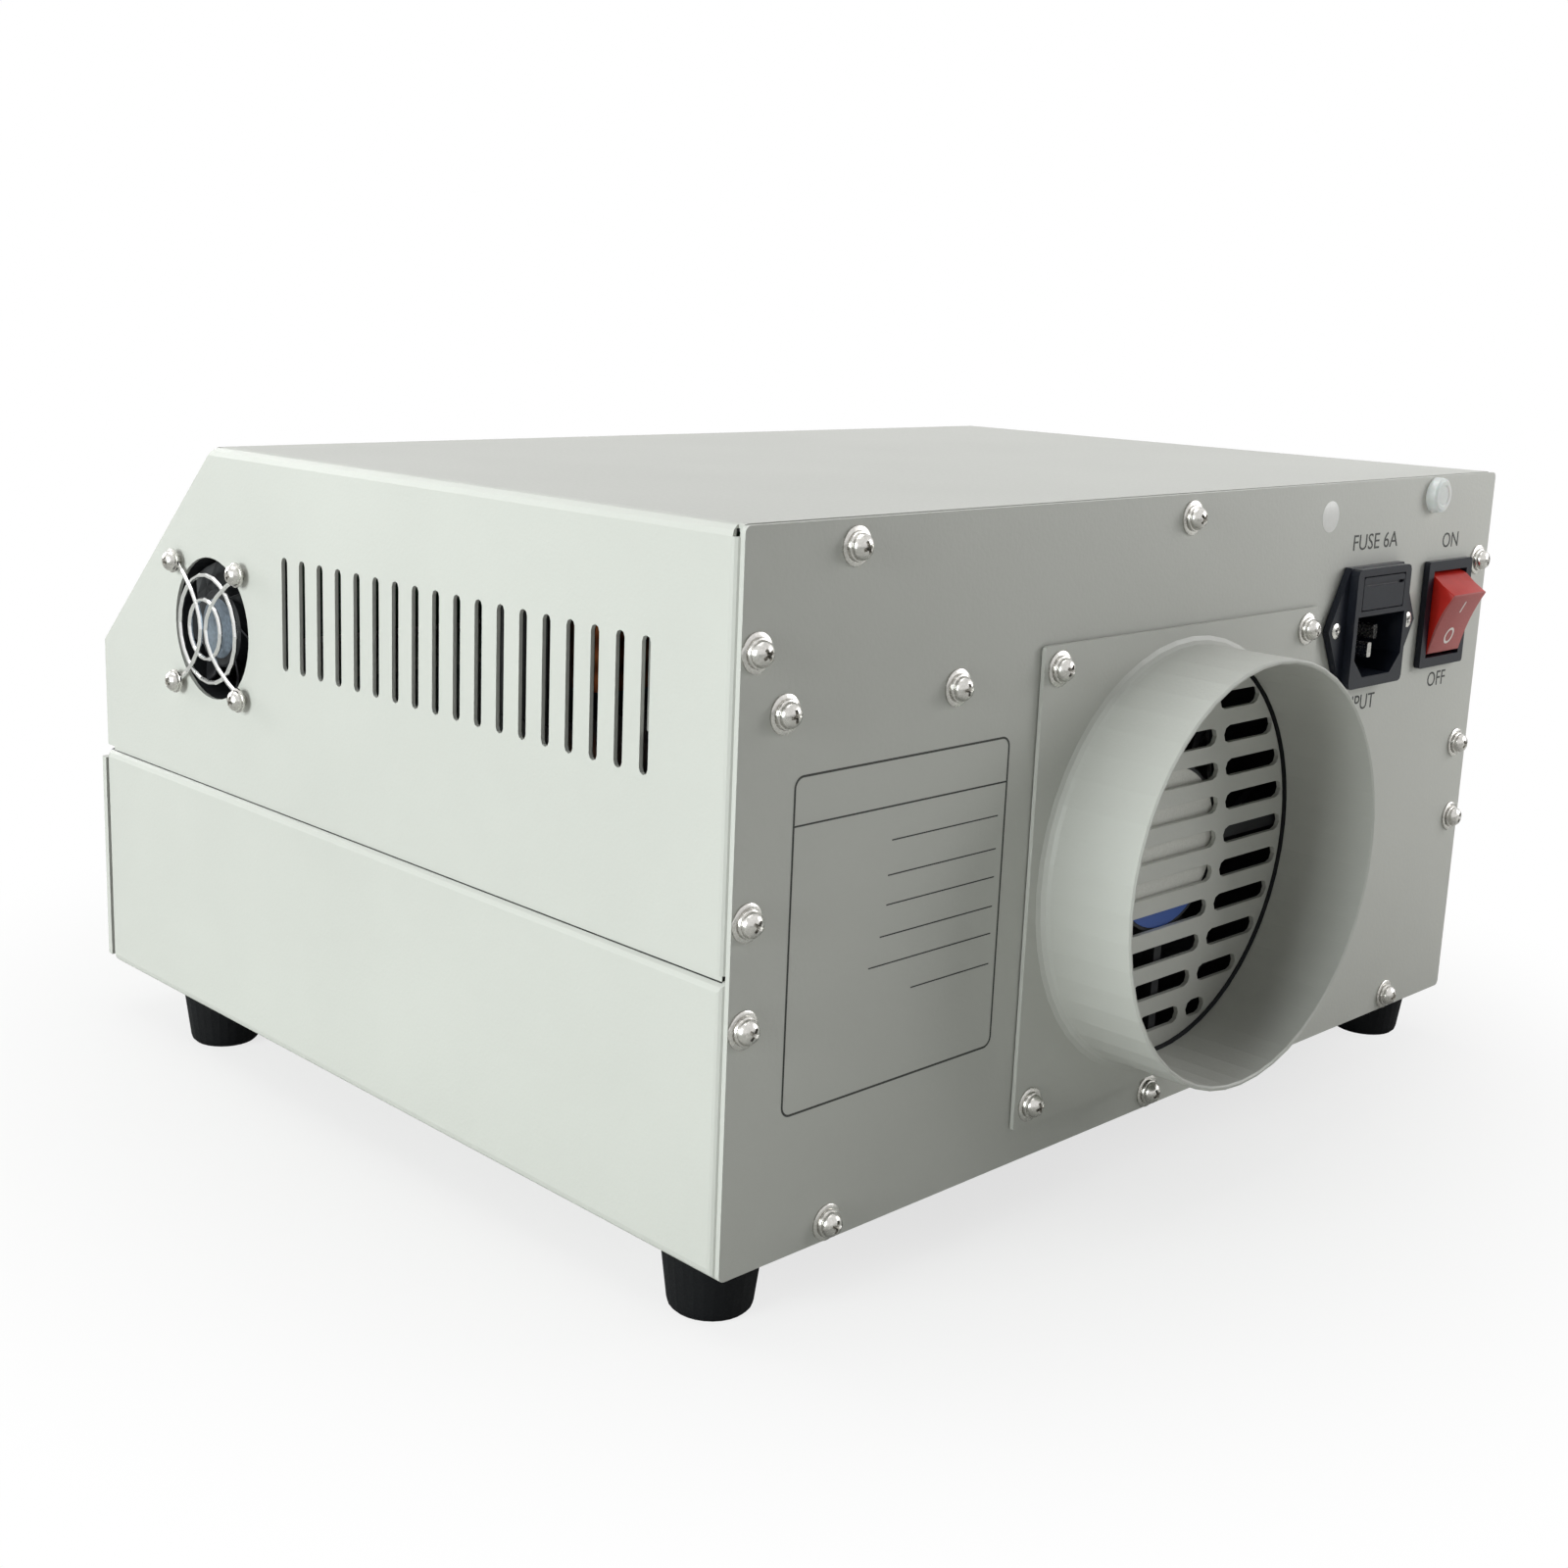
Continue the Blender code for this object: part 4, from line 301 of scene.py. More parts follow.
# Aluminised steel: soft grey metal with a fine spangle of crystals.
aluminised, tree, shader, where = surface("aluminised_steel")
spangle = add(tree, "ShaderNodeTexVoronoi", {"Vector": where, "Scale": 1000 / 4.0})
spangle_tone = add(
    tree, "ShaderNodeMix", {"Factor": spangle, 6: linear("#A5A7A8"), 7: linear("#BCBEBE")}, data_type="RGBA",
)
spangle_sheen = add(tree, "ShaderNodeMapRange", {"Value": spangle, "To Min": 0.34, "To Max": 0.5})
connect(tree, shader, {"Base Color": spangle_tone, "Roughness": spangle_sheen, "Metallic": 1.0})
dress(aluminised, "oven_chamber")

# Ceramic fibre blanket: chalk white, matt and hairy.
ceramic_wool, tree, shader, where = surface("ceramic_fibre_blanket")
wool = add(
    tree, "ShaderNodeTexNoise", {"Vector": where, "Scale": 1000 / 1.2, "Detail": 6.0, "Roughness": 0.7},
)
wool_tone = add(
    tree, "ShaderNodeMix", {"Factor": wool, 6: linear("#CFCABC"), 7: linear("#F4F2EA")}, data_type="RGBA",
)
wool_sheen = add(tree, "ShaderNodeMapRange", {"Value": wool, "To Min": 0.85, "To Max": 1.0})
wool_relief = add(tree, "ShaderNodeBump", {"Height": wool, "Distance": 0.0006})
connect(tree, shader, {"Base Color": wool_tone, "Roughness": wool_sheen, "Normal": wool_relief})
dress(ceramic_wool, "insulation_blanket")

# ---------------------------------------------------------------------------------------------
# Reflector, heating lamps, lamp holders and temperature probe
# Four quartz tubes with white ceramic end caps hang in slotted stainless holders under a sheet of
# bright aluminium. A sheathed probe reaches in from the rear.

# Bright rolled aluminium: mirror-like, with faint rolling lines along X.
bright_aluminium, tree, shader, where = surface("bright_rolled_aluminium")
rolled = add(tree, "ShaderNodeMapping", {"Vector": where, "Scale": (0.05, 1.0, 1.0)})
roll = add(tree, "ShaderNodeTexNoise", {"Vector": rolled, "Scale": 1000 / 0.5, "Detail": 2.0})
roll_tone = add(
    tree, "ShaderNodeMix", {"Factor": roll, 6: linear("#D3D4D6"), 7: linear("#EDEEEF")}, data_type="RGBA",
)
roll_sheen = add(tree, "ShaderNodeMapRange", {"Value": roll, "To Min": 0.05, "To Max": 0.20})
connect(tree, shader, {"Base Color": roll_tone, "Roughness": roll_sheen, "Metallic": 1.0})
dress(bright_aluminium, "reflector")

# Fused quartz tube, milky where the light catches it, with chalk-white ceramic caps at its ends,
# which start at a set distance from its middle.
CAP_START = 0.104
quartz, tree, shader, where = surface("fused_quartz_with_ceramic_caps")
milk = add(tree, "ShaderNodeTexNoise", {"Vector": where, "Scale": 1000 / 6, "Detail": 2.0})
glass_tone = add(
    tree, "ShaderNodeMix", {"Factor": milk, 6: linear("#D6D5CE"), 7: linear("#F2F1EC")}, data_type="RGBA",
)
along_tube = add(tree, "ShaderNodeSeparateXYZ", {"Vector": where})
from_centre = add(tree, "ShaderNodeMath", {0: along_tube.outputs["X"]}, operation="ABSOLUTE")
cap_share = add(tree, "ShaderNodeMath", {0: from_centre, 1: CAP_START}, operation="GREATER_THAN")
cap_and_tube = add(
    tree, "ShaderNodeMix", {"Factor": cap_share, 6: glass_tone, 7: linear("#EDEAE0")}, data_type="RGBA",
)
tube_sheen = add(tree, "ShaderNodeMapRange", {"Value": cap_share, "To Min": 0.12, "To Max": 0.75})
clearness = add(tree, "ShaderNodeMapRange", {"Value": cap_share, "To Min": 0.5, "To Max": 0.0})
connect(tree, shader, {"Base Color": cap_and_tube, "Roughness": tube_sheen, "Transmission Weight": clearness})
dress(quartz, "heating_lamp_1", "heating_lamp_2", "heating_lamp_3", "heating_lamp_4")

# Brushed stainless sheet: silvery, with fine lines along its length.
stainless, tree, shader, where = surface("brushed_stainless_steel")
brushed = add(tree, "ShaderNodeMapping", {"Vector": where, "Scale": (0.04, 1.0, 1.0)})
hair = add(tree, "ShaderNodeTexNoise", {"Vector": brushed, "Scale": 1000 / 0.35, "Detail": 3.0})
hair_tone = add(
    tree, "ShaderNodeMix", {"Factor": hair, 6: linear("#B0AFAB"), 7: linear("#D3D2CE")}, data_type="RGBA",
)
hair_sheen = add(tree, "ShaderNodeMapRange", {"Value": hair, "To Min": 0.18, "To Max": 0.40})
hair_relief = add(tree, "ShaderNodeBump", {"Height": hair, "Distance": 0.00001})
connect(tree, shader, {
    "Base Color": hair_tone, "Roughness": hair_sheen, "Metallic": 1.0, "Normal": hair_relief,
})
dress(stainless, "lamp_holder_left", "lamp_holder_right", "temperature_probe")

# ---------------------------------------------------------------------------------------------
# Drawer: tray, wire rack and slides
# A stainless tray and a wire rack ride on two bars, which run in zinc-plated channels along the
# base tray.

dress(stainless, "drawer_tray", "board_rack", "slide_bar_left", "slide_bar_right")

# Zinc plate on folded sheet: grey metal with a faint cast in soft patches.
zinc, tree, shader, where = surface("zinc_plated_steel")
patch = add(tree, "ShaderNodeTexNoise", {"Vector": where, "Scale": 1000 / 14, "Detail": 3.0})
scuff = add(tree, "ShaderNodeTexNoise", {"Vector": where, "Scale": 1000 / 0.5, "Detail": 2.0})
patch_tone = add(
    tree, "ShaderNodeMix", {"Factor": patch, 6: linear("#A2A6AA"), 7: linear("#C8C8C0")}, data_type="RGBA",
)
patch_sheen = add(tree, "ShaderNodeMapRange", {"Value": patch, "To Min": 0.25, "To Max": 0.50})
scuff_relief = add(tree, "ShaderNodeBump", {"Height": scuff, "Distance": 0.00001})
connect(tree, shader, {
    "Base Color": patch_tone, "Roughness": patch_sheen, "Metallic": 1.0, "Normal": scuff_relief,
})
dress(zinc, "slide_channel_left", "slide_channel_right")

# ---------------------------------------------------------------------------------------------
# Drawer front: heat shield, window and handle
# A stainless shield backs the drawer front, a tinted glass window is set in it, and a chromed bar
# handle stands out from it.

dress(stainless, "drawer_heat_shield")

# Tinted glass: nearly black, with a clean reflection and a trace of smears.
tinted_glass, tree, shader, where = surface("grey_tinted_glass")
smear = add(tree, "ShaderNodeTexNoise", {"Vector": where, "Scale": 1000 / 18, "Detail": 3.0})
smear_tone = add(
    tree, "ShaderNodeMix", {"Factor": smear, 6: linear("#0E1012"), 7: linear("#191B1E")}, data_type="RGBA",
)
smear_sheen = add(tree, "ShaderNodeMapRange", {"Value": smear, "To Min": 0.03, "To Max": 0.14})
connect(tree, shader, {"Base Color": smear_tone, "Roughness": smear_sheen})
dress(tinted_glass, "drawer_window", "screen_cover")

# Chrome plate on drawn steel: very bright, with a trace of drawing marks.
chrome, tree, shader, where = surface("chrome_plated_steel")
marks = add(tree, "ShaderNodeTexNoise", {"Vector": where, "Scale": 1000 / 0.6, "Detail": 2.0})
chrome_tone = add(
    tree, "ShaderNodeMix", {"Factor": marks, 6: linear("#E2E3E3"), 7: linear("#FAFAF8")}, data_type="RGBA",
)
chrome_sheen = add(tree, "ShaderNodeMapRange", {"Value": marks, "To Min": 0.12, "To Max": 0.34})
connect(tree, shader, {"Base Color": chrome_tone, "Roughness": chrome_sheen, "Metallic": 1.0})
dress(chrome, "drawer_handle")

# ---------------------------------------------------------------------------------------------
# Electronics shelf with transformer, relays and terminal block
# A zinc-plated shelf over the chamber carries a small mains transformer, two sealed relays in
# black resin and a white terminal block.

dress(zinc, "electronics_shelf")

# Varnished laminations: dark steel leaves, drawn 1 mm thick so that they still show.
laminations, tree, shader, where = surface("varnished_laminations")
leaf = add(tree, "ShaderNodeTexWave", {"Vector": where, "Scale": 50.0}, bands_direction="Y").outputs["Fac"]
leaf_tone = add(
    tree, "ShaderNodeMix", {"Factor": leaf, 6: linear("#333334"), 7: linear("#5C5B5C")}, data_type="RGBA",
)
leaf_sheen = add(tree, "ShaderNodeMapRange", {"Value": leaf, "To Min": 0.35, "To Max": 0.5})
connect(tree, shader, {"Base Color": leaf_tone, "Roughness": leaf_sheen, "Metallic": 0.8})
dress(laminations, "transformer_core")

# Enamelled copper wire in close layers, each turn drawn 1 mm thick so that it still shows.
copper, tree, shader, where = surface("enamelled_copper_wire")
turns = add(tree, "ShaderNodeTexWave", {"Vector": where, "Scale": 50.0}, bands_direction="Z").outputs["Fac"]
copper_tone = add(
    tree, "ShaderNodeMix", {"Factor": turns, 6: linear("#7C3D1C"), 7: linear("#A85A2C")}, data_type="RGBA",
)
copper_sheen = add(tree, "ShaderNodeMapRange", {"Value": turns, "To Min": 0.28, "To Max": 0.4})
copper_relief = add(tree, "ShaderNodeBump", {"Height": turns, "Distance": 0.0002})
connect(tree, shader, {
    "Base Color": copper_tone, "Roughness": copper_sheen, "Metallic": 0.7, "Normal": copper_relief,
})
dress(copper, "transformer_winding")

# Phenolic resin: black-brown and satin, with a film of dust.
phenolic, tree, shader, where = surface("black_phenolic_resin")
dust = add(tree, "ShaderNodeTexNoise", {"Vector": where, "Scale": 1000 / 2.0, "Detail": 4.0})
dust_tone = add(
    tree, "ShaderNodeMix", {"Factor": dust, 6: linear("#171718"), 7: linear("#2A2A2B")}, data_type="RGBA",
)
dust_sheen = add(tree, "ShaderNodeMapRange", {"Value": dust, "To Min": 0.30, "To Max": 0.60})
connect(tree, shader, {"Base Color": dust_tone, "Roughness": dust_sheen})
dress(phenolic, "solid_state_relay_1", "solid_state_relay_2", "display_module")

# Melamine resin: dense, slightly warm white with a low gloss.
melamine, tree, shader, where = surface("white_melamine")
cast = add(tree, "ShaderNodeTexNoise", {"Vector": where, "Scale": 1000 / 3.0, "Detail": 2.0})
cast_tone = add(
    tree, "ShaderNodeMix", {"Factor": cast, 6: linear("#DFDCD2"), 7: linear("#F0EEE6")}, data_type="RGBA",
)
cast_sheen = add(tree, "ShaderNodeMapRange", {"Value": cast, "To Min": 0.32, "To Max": 0.50})
connect(tree, shader, {"Base Color": cast_tone, "Roughness": cast_sheen})
dress(melamine, "terminal_block")


def turned(profile, steps):
    """A closed turning of (radius, height) points round the Z axis."""
    shape = bmesh.new()
    line = [shape.verts.new((radius, 0, height)) for radius, height in profile]
    edges = [shape.edges.new(pair) for pair in zip(line, line[1:])]
    bmesh.ops.spin(
        shape, geom=line + edges, cent=(0, 0, 0), axis=(0, 0, 1), angle=2 * math.pi, steps=steps,
        use_merge=True,
    )
    bmesh.ops.remove_doubles(shape, verts=shape.verts, dist=1e-6)
    return shape


def cross_recess(shape, top, width, depth):
    """The turned head with a tapered cross pressed into its top, as a mesh."""
    over = 0.0003
    head = bpy.data.meshes.new("head")
    bmesh.ops.recalc_face_normals(shape, faces=shape.faces)
    shape.to_mesh(head)
    shape.free()
    head_object = bpy.data.objects.new("head", head)
    scene.collection.objects.link(head_object)
    for turn in (0, 90):
        blade = bmesh.new()
        bmesh.ops.create_cube(blade, size=1)
        for vertex in blade.verts:
            x, y, z = vertex.co
            taper = 0.45 if z < 0 else 1.0
            vertex.co = (
                x * width * taper, y * width * 0.24 * (0.6 + 0.4 * taper),
                top + over + (z - 0.5) * (depth + over),
            )
        quarter = Matrix.Rotation(math.radians(turn), 3, "Z")
        bmesh.ops.rotate(blade, verts=blade.verts, cent=(0, 0, 0), matrix=quarter)
        mesh = bpy.data.meshes.new("blade")
        blade.to_mesh(mesh)
        blade.free()
        cutter = bpy.data.objects.new("blade", mesh)
        scene.collection.objects.link(cutter)
        step = head_object.modifiers.new("recess", "BOOLEAN")
        step.operation = "DIFFERENCE"
        step.solver = "EXACT"
        step.object = cutter
    bpy.context.view_layer.update()
    made = bpy.data.meshes.new_from_object(head_object.evaluated_get(bpy.context.evaluated_depsgraph_get()))
    for leftover in [head_object] + [step.object for step in head_object.modifiers]:
        bpy.data.objects.remove(leftover)
    return made


def set_out(pattern, places, facing, seed):
    """One bmesh with a copy of the pattern at each place, each turned at random about its axis."""
    shape = bmesh.new()
    luck = random.Random(seed)
    for place in places:
        before = set(shape.verts)
        shape.from_mesh(pattern)
        fresh = [v for v in shape.verts if v not in before]
        turn = Matrix.Rotation(luck.uniform(0, math.pi / 2), 4, "Z")
        bmesh.ops.transform(shape, verts=fresh, matrix=Matrix.Translation(place) @ facing @ turn)
    return shape


UPRIGHT = Matrix.Identity(4)

# Bright nickel plate on pressed steel: warm and mirror-like, softer in its scratches.
nickel, tree, shader, where = surface("bright_nickel_plate")
wear = add(tree, "ShaderNodeTexNoise", {"Vector": where, "Scale": 1000 / 0.7, "Detail": 4.0})
nickel_tone = add(
    tree, "ShaderNodeMix", {"Factor": wear, 6: linear("#B6B4AF"), 7: linear("#E6E4E0")}, data_type="RGBA",
)
nickel_sheen = add(tree, "ShaderNodeMapRange", {"Value": wear, "To Min": 0.10, "To Max": 0.40})
nickel_relief = add(tree, "ShaderNodeBump", {"Height": wear, "Distance": 0.00001})
connect(tree, shader, {
    "Base Color": nickel_tone, "Roughness": nickel_sheen, "Metallic": 1.0, "Normal": nickel_relief,
})

# Each relay has a terminal screw at each corner, on the step below its roof.
RELAY_SCREW_X, RELAY_SCREW_Y, RELAY_STEP = 0.0112, 0.0238, 0.0087
relay_profile = [
    (0, 0.0034), (0.0014, 0.0033), (0.0026, 0.0028), (0.0033, 0.0020), (0.0033, 0.0012), (0.0043, 0.0010),
    (0.0044, 0.0008), (0.0044, 0.00002), (0, 0.00002),
]
relay_screw = cross_recess(turned(relay_profile, 24), 0.0034, 0.0036, 0.0013)
relay_places = []
for name in ("solid_state_relay_1", "solid_state_relay_2"):
    low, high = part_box(name)
    middle = (low + high) / 2
    relay_places += [
        (middle.x + sx * RELAY_SCREW_X, middle.y + sy * RELAY_SCREW_Y, high.z - RELAY_STEP)
        for sx in (-1, 1) for sy in (-1, 1)
    ]
finished("relay_screws", set_out(relay_screw, relay_places, UPRIGHT, 11), nickel)

# The terminal block has six ways, with a screw at each end of each way.
WAYS = 6
WAY_HALF_LENGTH, WAY_FLOOR = 0.0055, 0.0072
way_profile = [
    (0, 0.0030), (0.0012, 0.0029), (0.0020, 0.0024), (0.0022, 0.0018), (0.0022, 0.0006), (0.0026, 0.0005),
    (0.0026, 0.00002), (0, 0.00002),
]
way_screw = cross_recess(turned(way_profile, 20), 0.0030, 0.0026, 0.0010)
low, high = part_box("terminal_block")
way_pitch = (high.y - low.y) / WAYS
way_places = [
    ((low.x + high.x) / 2 + side * WAY_HALF_LENGTH, low.y + (way + 0.5) * way_pitch, low.z + WAY_FLOOR)
    for way in range(WAYS) for side in (-1, 1)
]
finished("terminal_screws", set_out(way_screw, way_places, UPRIGHT, 12), nickel)

# ---------------------------------------------------------------------------------------------
# Exhaust fan, its label and the bracket that holds it
# A boxed 120 mm fan in glass-filled plastic behind the grille. A round paper label covers its
# motor, and shows in strips through the slots.

# Glass-filled polyester: black and semi-matt, with the fibres just visible.
fan_plastic, tree, shader, where = surface("glass_filled_polyester")
fibre = add(tree, "ShaderNodeTexNoise", {"Vector": where, "Scale": 1000 / 0.35, "Detail": 3.0})
fibre_tone = add(
    tree, "ShaderNodeMix", {"Factor": fibre, 6: linear("#101113"), 7: linear("#26272A")}, data_type="RGBA",
)
fibre_sheen = add(tree, "ShaderNodeMapRange", {"Value": fibre, "To Min": 0.36, "To Max": 0.64})
fibre_relief = add(tree, "ShaderNodeBump", {"Height": fibre, "Distance": 0.00002})
connect(tree, shader, {"Base Color": fibre_tone, "Roughness": fibre_sheen, "Normal": fibre_relief})
shader.inputs["Specular IOR Level"].default_value = 0.3
dress(fan_plastic, "exhaust_fan_frame", "exhaust_fan_rotor")
dress(zinc, "fan_bracket")

# Coated paper label: off white with a blue band along its lower part.
BAND_TOP = 0.0545
label_paper, tree, shader, where = surface("printed_label_paper")
label_height = add(tree, "ShaderNodeSeparateXYZ", {"Vector": where}).outputs["Z"]
fleck = add(tree, "ShaderNodeTexNoise", {"Vector": where, "Scale": 1000 / 0.5, "Detail": 2.0})
pale = add(
    tree, "ShaderNodeMix", {"Factor": fleck, 6: linear("#CDCDC6"), 7: linear("#E4E4DE")}, data_type="RGBA",
)
band = add(tree, "ShaderNodeMath", {0: label_height, 1: body_foot + BAND_TOP}, operation="LESS_THAN")
two_tone = add(tree, "ShaderNodeMix", {"Factor": band, 6: pale, 7: linear("#2A55A8")}, data_type="RGBA")
connect(tree, shader, {"Base Color": two_tone, "Roughness": 0.35})

TO_REAR = Matrix.Rotation(math.radians(-90), 4, "X")


def set_down(shape, place, facing):
    """The shape, drawn on the origin with its top up, turned to face its way and put in its place."""
    bmesh.ops.transform(shape, verts=shape.verts, matrix=Matrix.Translation(place) @ facing)


# The motor's face lies a little within the frame's.
MOTOR_INSET = 0.00023
fan_low, fan_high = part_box("exhaust_fan_frame")
fan_centre = (fan_low + fan_high) / 2
fan_label = turned([(0, 0.0001), (0.0205, 0.0001), (0.0206, 0), (0, 0)], 48)
set_down(fan_label, (fan_centre.x, fan_high.y - MOTOR_INSET, fan_centre.z), TO_REAR)
finished("exhaust_fan_label", fan_label, label_paper)

# ---------------------------------------------------------------------------------------------
# Rear panel screws and exhaust duct screws
# Pan-head cross-recess screws over a spring washer and a flat washer, all nickel plated. They
# hold the rear panel to the flanges of the casings, and the duct's square flange to the fan.

screw_profile = [
    (0, 0.0036), (0.0011, 0.0035), (0.0020, 0.0031), (0.0026, 0.0024), (0.0028, 0.0018), (0.0028, 0.0014),
    (0.0031, 0.0013), (0.0032, 0.0011), (0.0032, 0.0007), (0.0030, 0.0006), (0.0040, 0.00055),
    (0.0042, 0.0004), (0.0042, 0.00002), (0, 0.00002),
]
washer_screw = cross_recess(turned(screw_profile, 32), 0.0036, 0.0034, 0.0015)

# Where the rear panel's screws sit: across from the middle, and up from the casing's foot.
rear_screw_spots = [
    (0.1204, 0.1512), (0.0023, 0.1511),
    (0.1474, 0.1320), (0.1474, 0.0773), (0.1474, 0.0547),
    (0.1390, 0.1189), (0.0863, 0.1186),
    (0.1199, 0.0045), (0.0016, 0.0045), (-0.1181, 0.0045),
    (-0.1458, 0.1318), (-0.1449, 0.0773), (-0.1465, 0.0546),
]
rear_places = [(x, rear_face, z + body_foot) for x, z in rear_screw_spots]
finished("rear_panel_screws", set_out(washer_screw, rear_places, TO_REAR, 3), nickel)

# The duct's four screws go through its flange into the fan's holes.
FLANGE_WALL, FAN_HALF_SPACING = 0.0013, 0.0525
duct_low, duct_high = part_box("exhaust_duct")
duct_centre = (duct_low + duct_high) / 2
duct_places = [
    (duct_centre.x + sx * FAN_HALF_SPACING, rear_face + FLANGE_WALL, duct_centre.z + sz * FAN_HALF_SPACING)
    for sx in (-1, 1) for sz in (-1, 1)
]
finished("duct_flange_screws", set_out(washer_screw, duct_places, TO_REAR, 8), nickel)

# A bead of black rubber seals the foot of the duct's pipe to the panel, round the inside.
DUCT_BORE = 0.0520
bead_profile = [
    (DUCT_BORE - 0.0009, 0.00002), (DUCT_BORE - 0.0008, 0.0004), (DUCT_BORE - 0.0005, 0.0007),
    (DUCT_BORE - 0.0001, 0.0008), (DUCT_BORE - 0.00002, 0.0007), (DUCT_BORE - 0.00002, 0.00002),
    (DUCT_BORE - 0.0009, 0.00002),
]
bead = turned(bead_profile, 96)
set_down(bead, (duct_centre.x, rear_face, duct_centre.z), TO_REAR)
finished("duct_seal_bead", bead, rubber)

# ---------------------------------------------------------------------------------------------
# Side fan with its guard and screws
# A 40 mm fan behind a round hole in the right side. A chromed wire guard lies on the outside,
# held at its four eyes by screws that go through to the fan.

dress(fan_plastic, "side_fan_frame", "side_fan_rotor")
dress(chrome, "side_fan_guard")

TO_SIDE = Matrix.Rotation(math.radians(90), 4, "Y")
GUARD_EYE = 0.0164
guard_low, guard_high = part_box("side_fan_guard")
guard_centre = (guard_low + guard_high) / 2
side_profile = [
    (0, 0.0046), (0.0011, 0.0045), (0.0020, 0.0041), (0.0026, 0.0034), (0.0028, 0.0028), (0.0028, 0.0024),
    (0.0032, 0.0023), (0.0032, 0.0018), (0.0014, 0.0017), (0.0014, 0.00002), (0, 0.00002),
]
side_screw = cross_recess(turned(side_profile, 28), 0.0046, 0.0032, 0.0013)
side_places = [
    (right_edge, guard_centre.y + sy * GUARD_EYE, guard_centre.z + sz * GUARD_EYE)
    for sy in (-1, 1) for sz in (-1, 1)
]
finished("side_fan_screws", set_out(side_screw, side_places, TO_SIDE, 5), nickel)

# Silvered paper of the hub's label: a cool, soft mirror with the fibres of the paper in it.
silvered_paper, tree, shader, where = surface("silvered_label_paper")
pulp = add(tree, "ShaderNodeTexNoise", {"Vector": where, "Scale": 1000 / 1.0, "Detail": 3.0})
pulp_tone = add(
    tree, "ShaderNodeMix", {"Factor": pulp, 6: linear("#46505B"), 7: linear("#8A97A4")}, data_type="RGBA",
)
pulp_sheen = add(tree, "ShaderNodeMapRange", {"Value": pulp, "To Min": 0.25, "To Max": 0.50})
connect(tree, shader, {"Base Color": pulp_tone, "Roughness": pulp_sheen, "Metallic": 0.5})

hub_label = turned([(0, 0.0001), (0.0079, 0.0001), (0.0080, 0.00006), (0.0080, 0), (0, 0)], 48)
PAPER_GAP = 0.00001
hub_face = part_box("side_fan_rotor")[1].x
set_down(hub_label, (hub_face + PAPER_GAP, guard_centre.y, guard_centre.z), TO_SIDE)
finished("side_fan_label", hub_label, silvered_paper, "side_rotor")

# ---------------------------------------------------------------------------------------------
# Mains inlet with fuse drawer and pins
# A panel-mount appliance inlet moulded in black nylon, with nickel-plated brass pins and a
# pull-out fuse drawer over the socket. Two countersunk screws hold its ears to the rear panel.

# Moulded nylon: blue-black with a satin gloss and a fine spark-eroded texture.
nylon, tree, shader, where = surface("moulded_black_nylon")
spark = add(tree, "ShaderNodeTexNoise", {"Vector": where, "Scale": 1000 / 0.3, "Detail": 2.0})
nylon_tone = add(
    tree, "ShaderNodeMix", {"Factor": spark, 6: linear("#11141C"), 7: linear("#20242F")}, data_type="RGBA",
)
nylon_sheen = add(tree, "ShaderNodeMapRange", {"Value": spark, "To Min": 0.22, "To Max": 0.42})
nylon_relief = add(tree, "ShaderNodeBump", {"Height": spark, "Distance": 0.000015})
connect(tree, shader, {"Base Color": nylon_tone, "Roughness": nylon_sheen, "Normal": nylon_relief})
shader.inputs["Specular IOR Level"].default_value = 0.3
dress(nylon, "mains_inlet", "fuse_drawer")
dress(nickel, "inlet_pin_line", "inlet_pin_neutral", "inlet_pin_earth")

# Clear glass tube of the fuse, with a faint green edge.
fuse_glass, tree, shader, where = surface("fuse_glass_tube")
haze = add(tree, "ShaderNodeTexNoise", {"Vector": where, "Scale": 1000 / 3, "Detail": 2.0})
haze_tone = add(
    tree, "ShaderNodeMix", {"Factor": haze, 6: linear("#D5E4DF"), 7: linear("#ECF3F1")}, data_type="RGBA",
)
haze_sheen = add(tree, "ShaderNodeMapRange", {"Value": haze, "To Min": 0.02, "To Max": 0.10})
connect(tree, shader, {"Base Color": haze_tone, "Roughness": haze_sheen, "Transmission Weight": 0.6})
dress(fuse_glass, "fuse")

EAR_SCREW_X, EAR_WALL = 0.0190, 0.0022
inlet_low, inlet_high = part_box("mains_inlet")
inlet_centre = (inlet_low + inlet_high) / 2
ear_profile = [
    (0, 0.0004), (0.0010, 0.0004), (0.0017, 0.0003), (0.0021, 0.00015), (0.0021, 0.00002), (0, 0.00002),
]
ear_screw = cross_recess(turned(ear_profile, 24), 0.0004, 0.0024, 0.0006)
ear_places = [
    (inlet_centre.x + side * EAR_SCREW_X, rear_face + EAR_WALL, inlet_centre.z) for side in (-1, 1)
]
finished("inlet_ear_screws", set_out(ear_screw, ear_places, TO_REAR, 6), nickel)

# ---------------------------------------------------------------------------------------------
# Rocker switch and its marks
# A rocker in clear red polycarbonate in a black snap-in housing. Its hollow face is frosted, and
# carries a ring at its lower end and a bar at its upper end, printed in white.

dress(nylon, "switch_housing")

# The axle, which all of the rocker is drawn from, and the two ends of a sagging slope that lies
# just under its hollow face, as places (out, up) from the axle.
AXLE_DEPTH, AXLE_HEIGHT = 0.0048, 0.1179
SLOPE_FOOT, SLOPE_HEAD = (0.0067, -0.0115), (0.0132, 0.0061)
axle = Vector((0.0, rear_face - AXLE_DEPTH, body_foot + AXLE_HEIGHT))

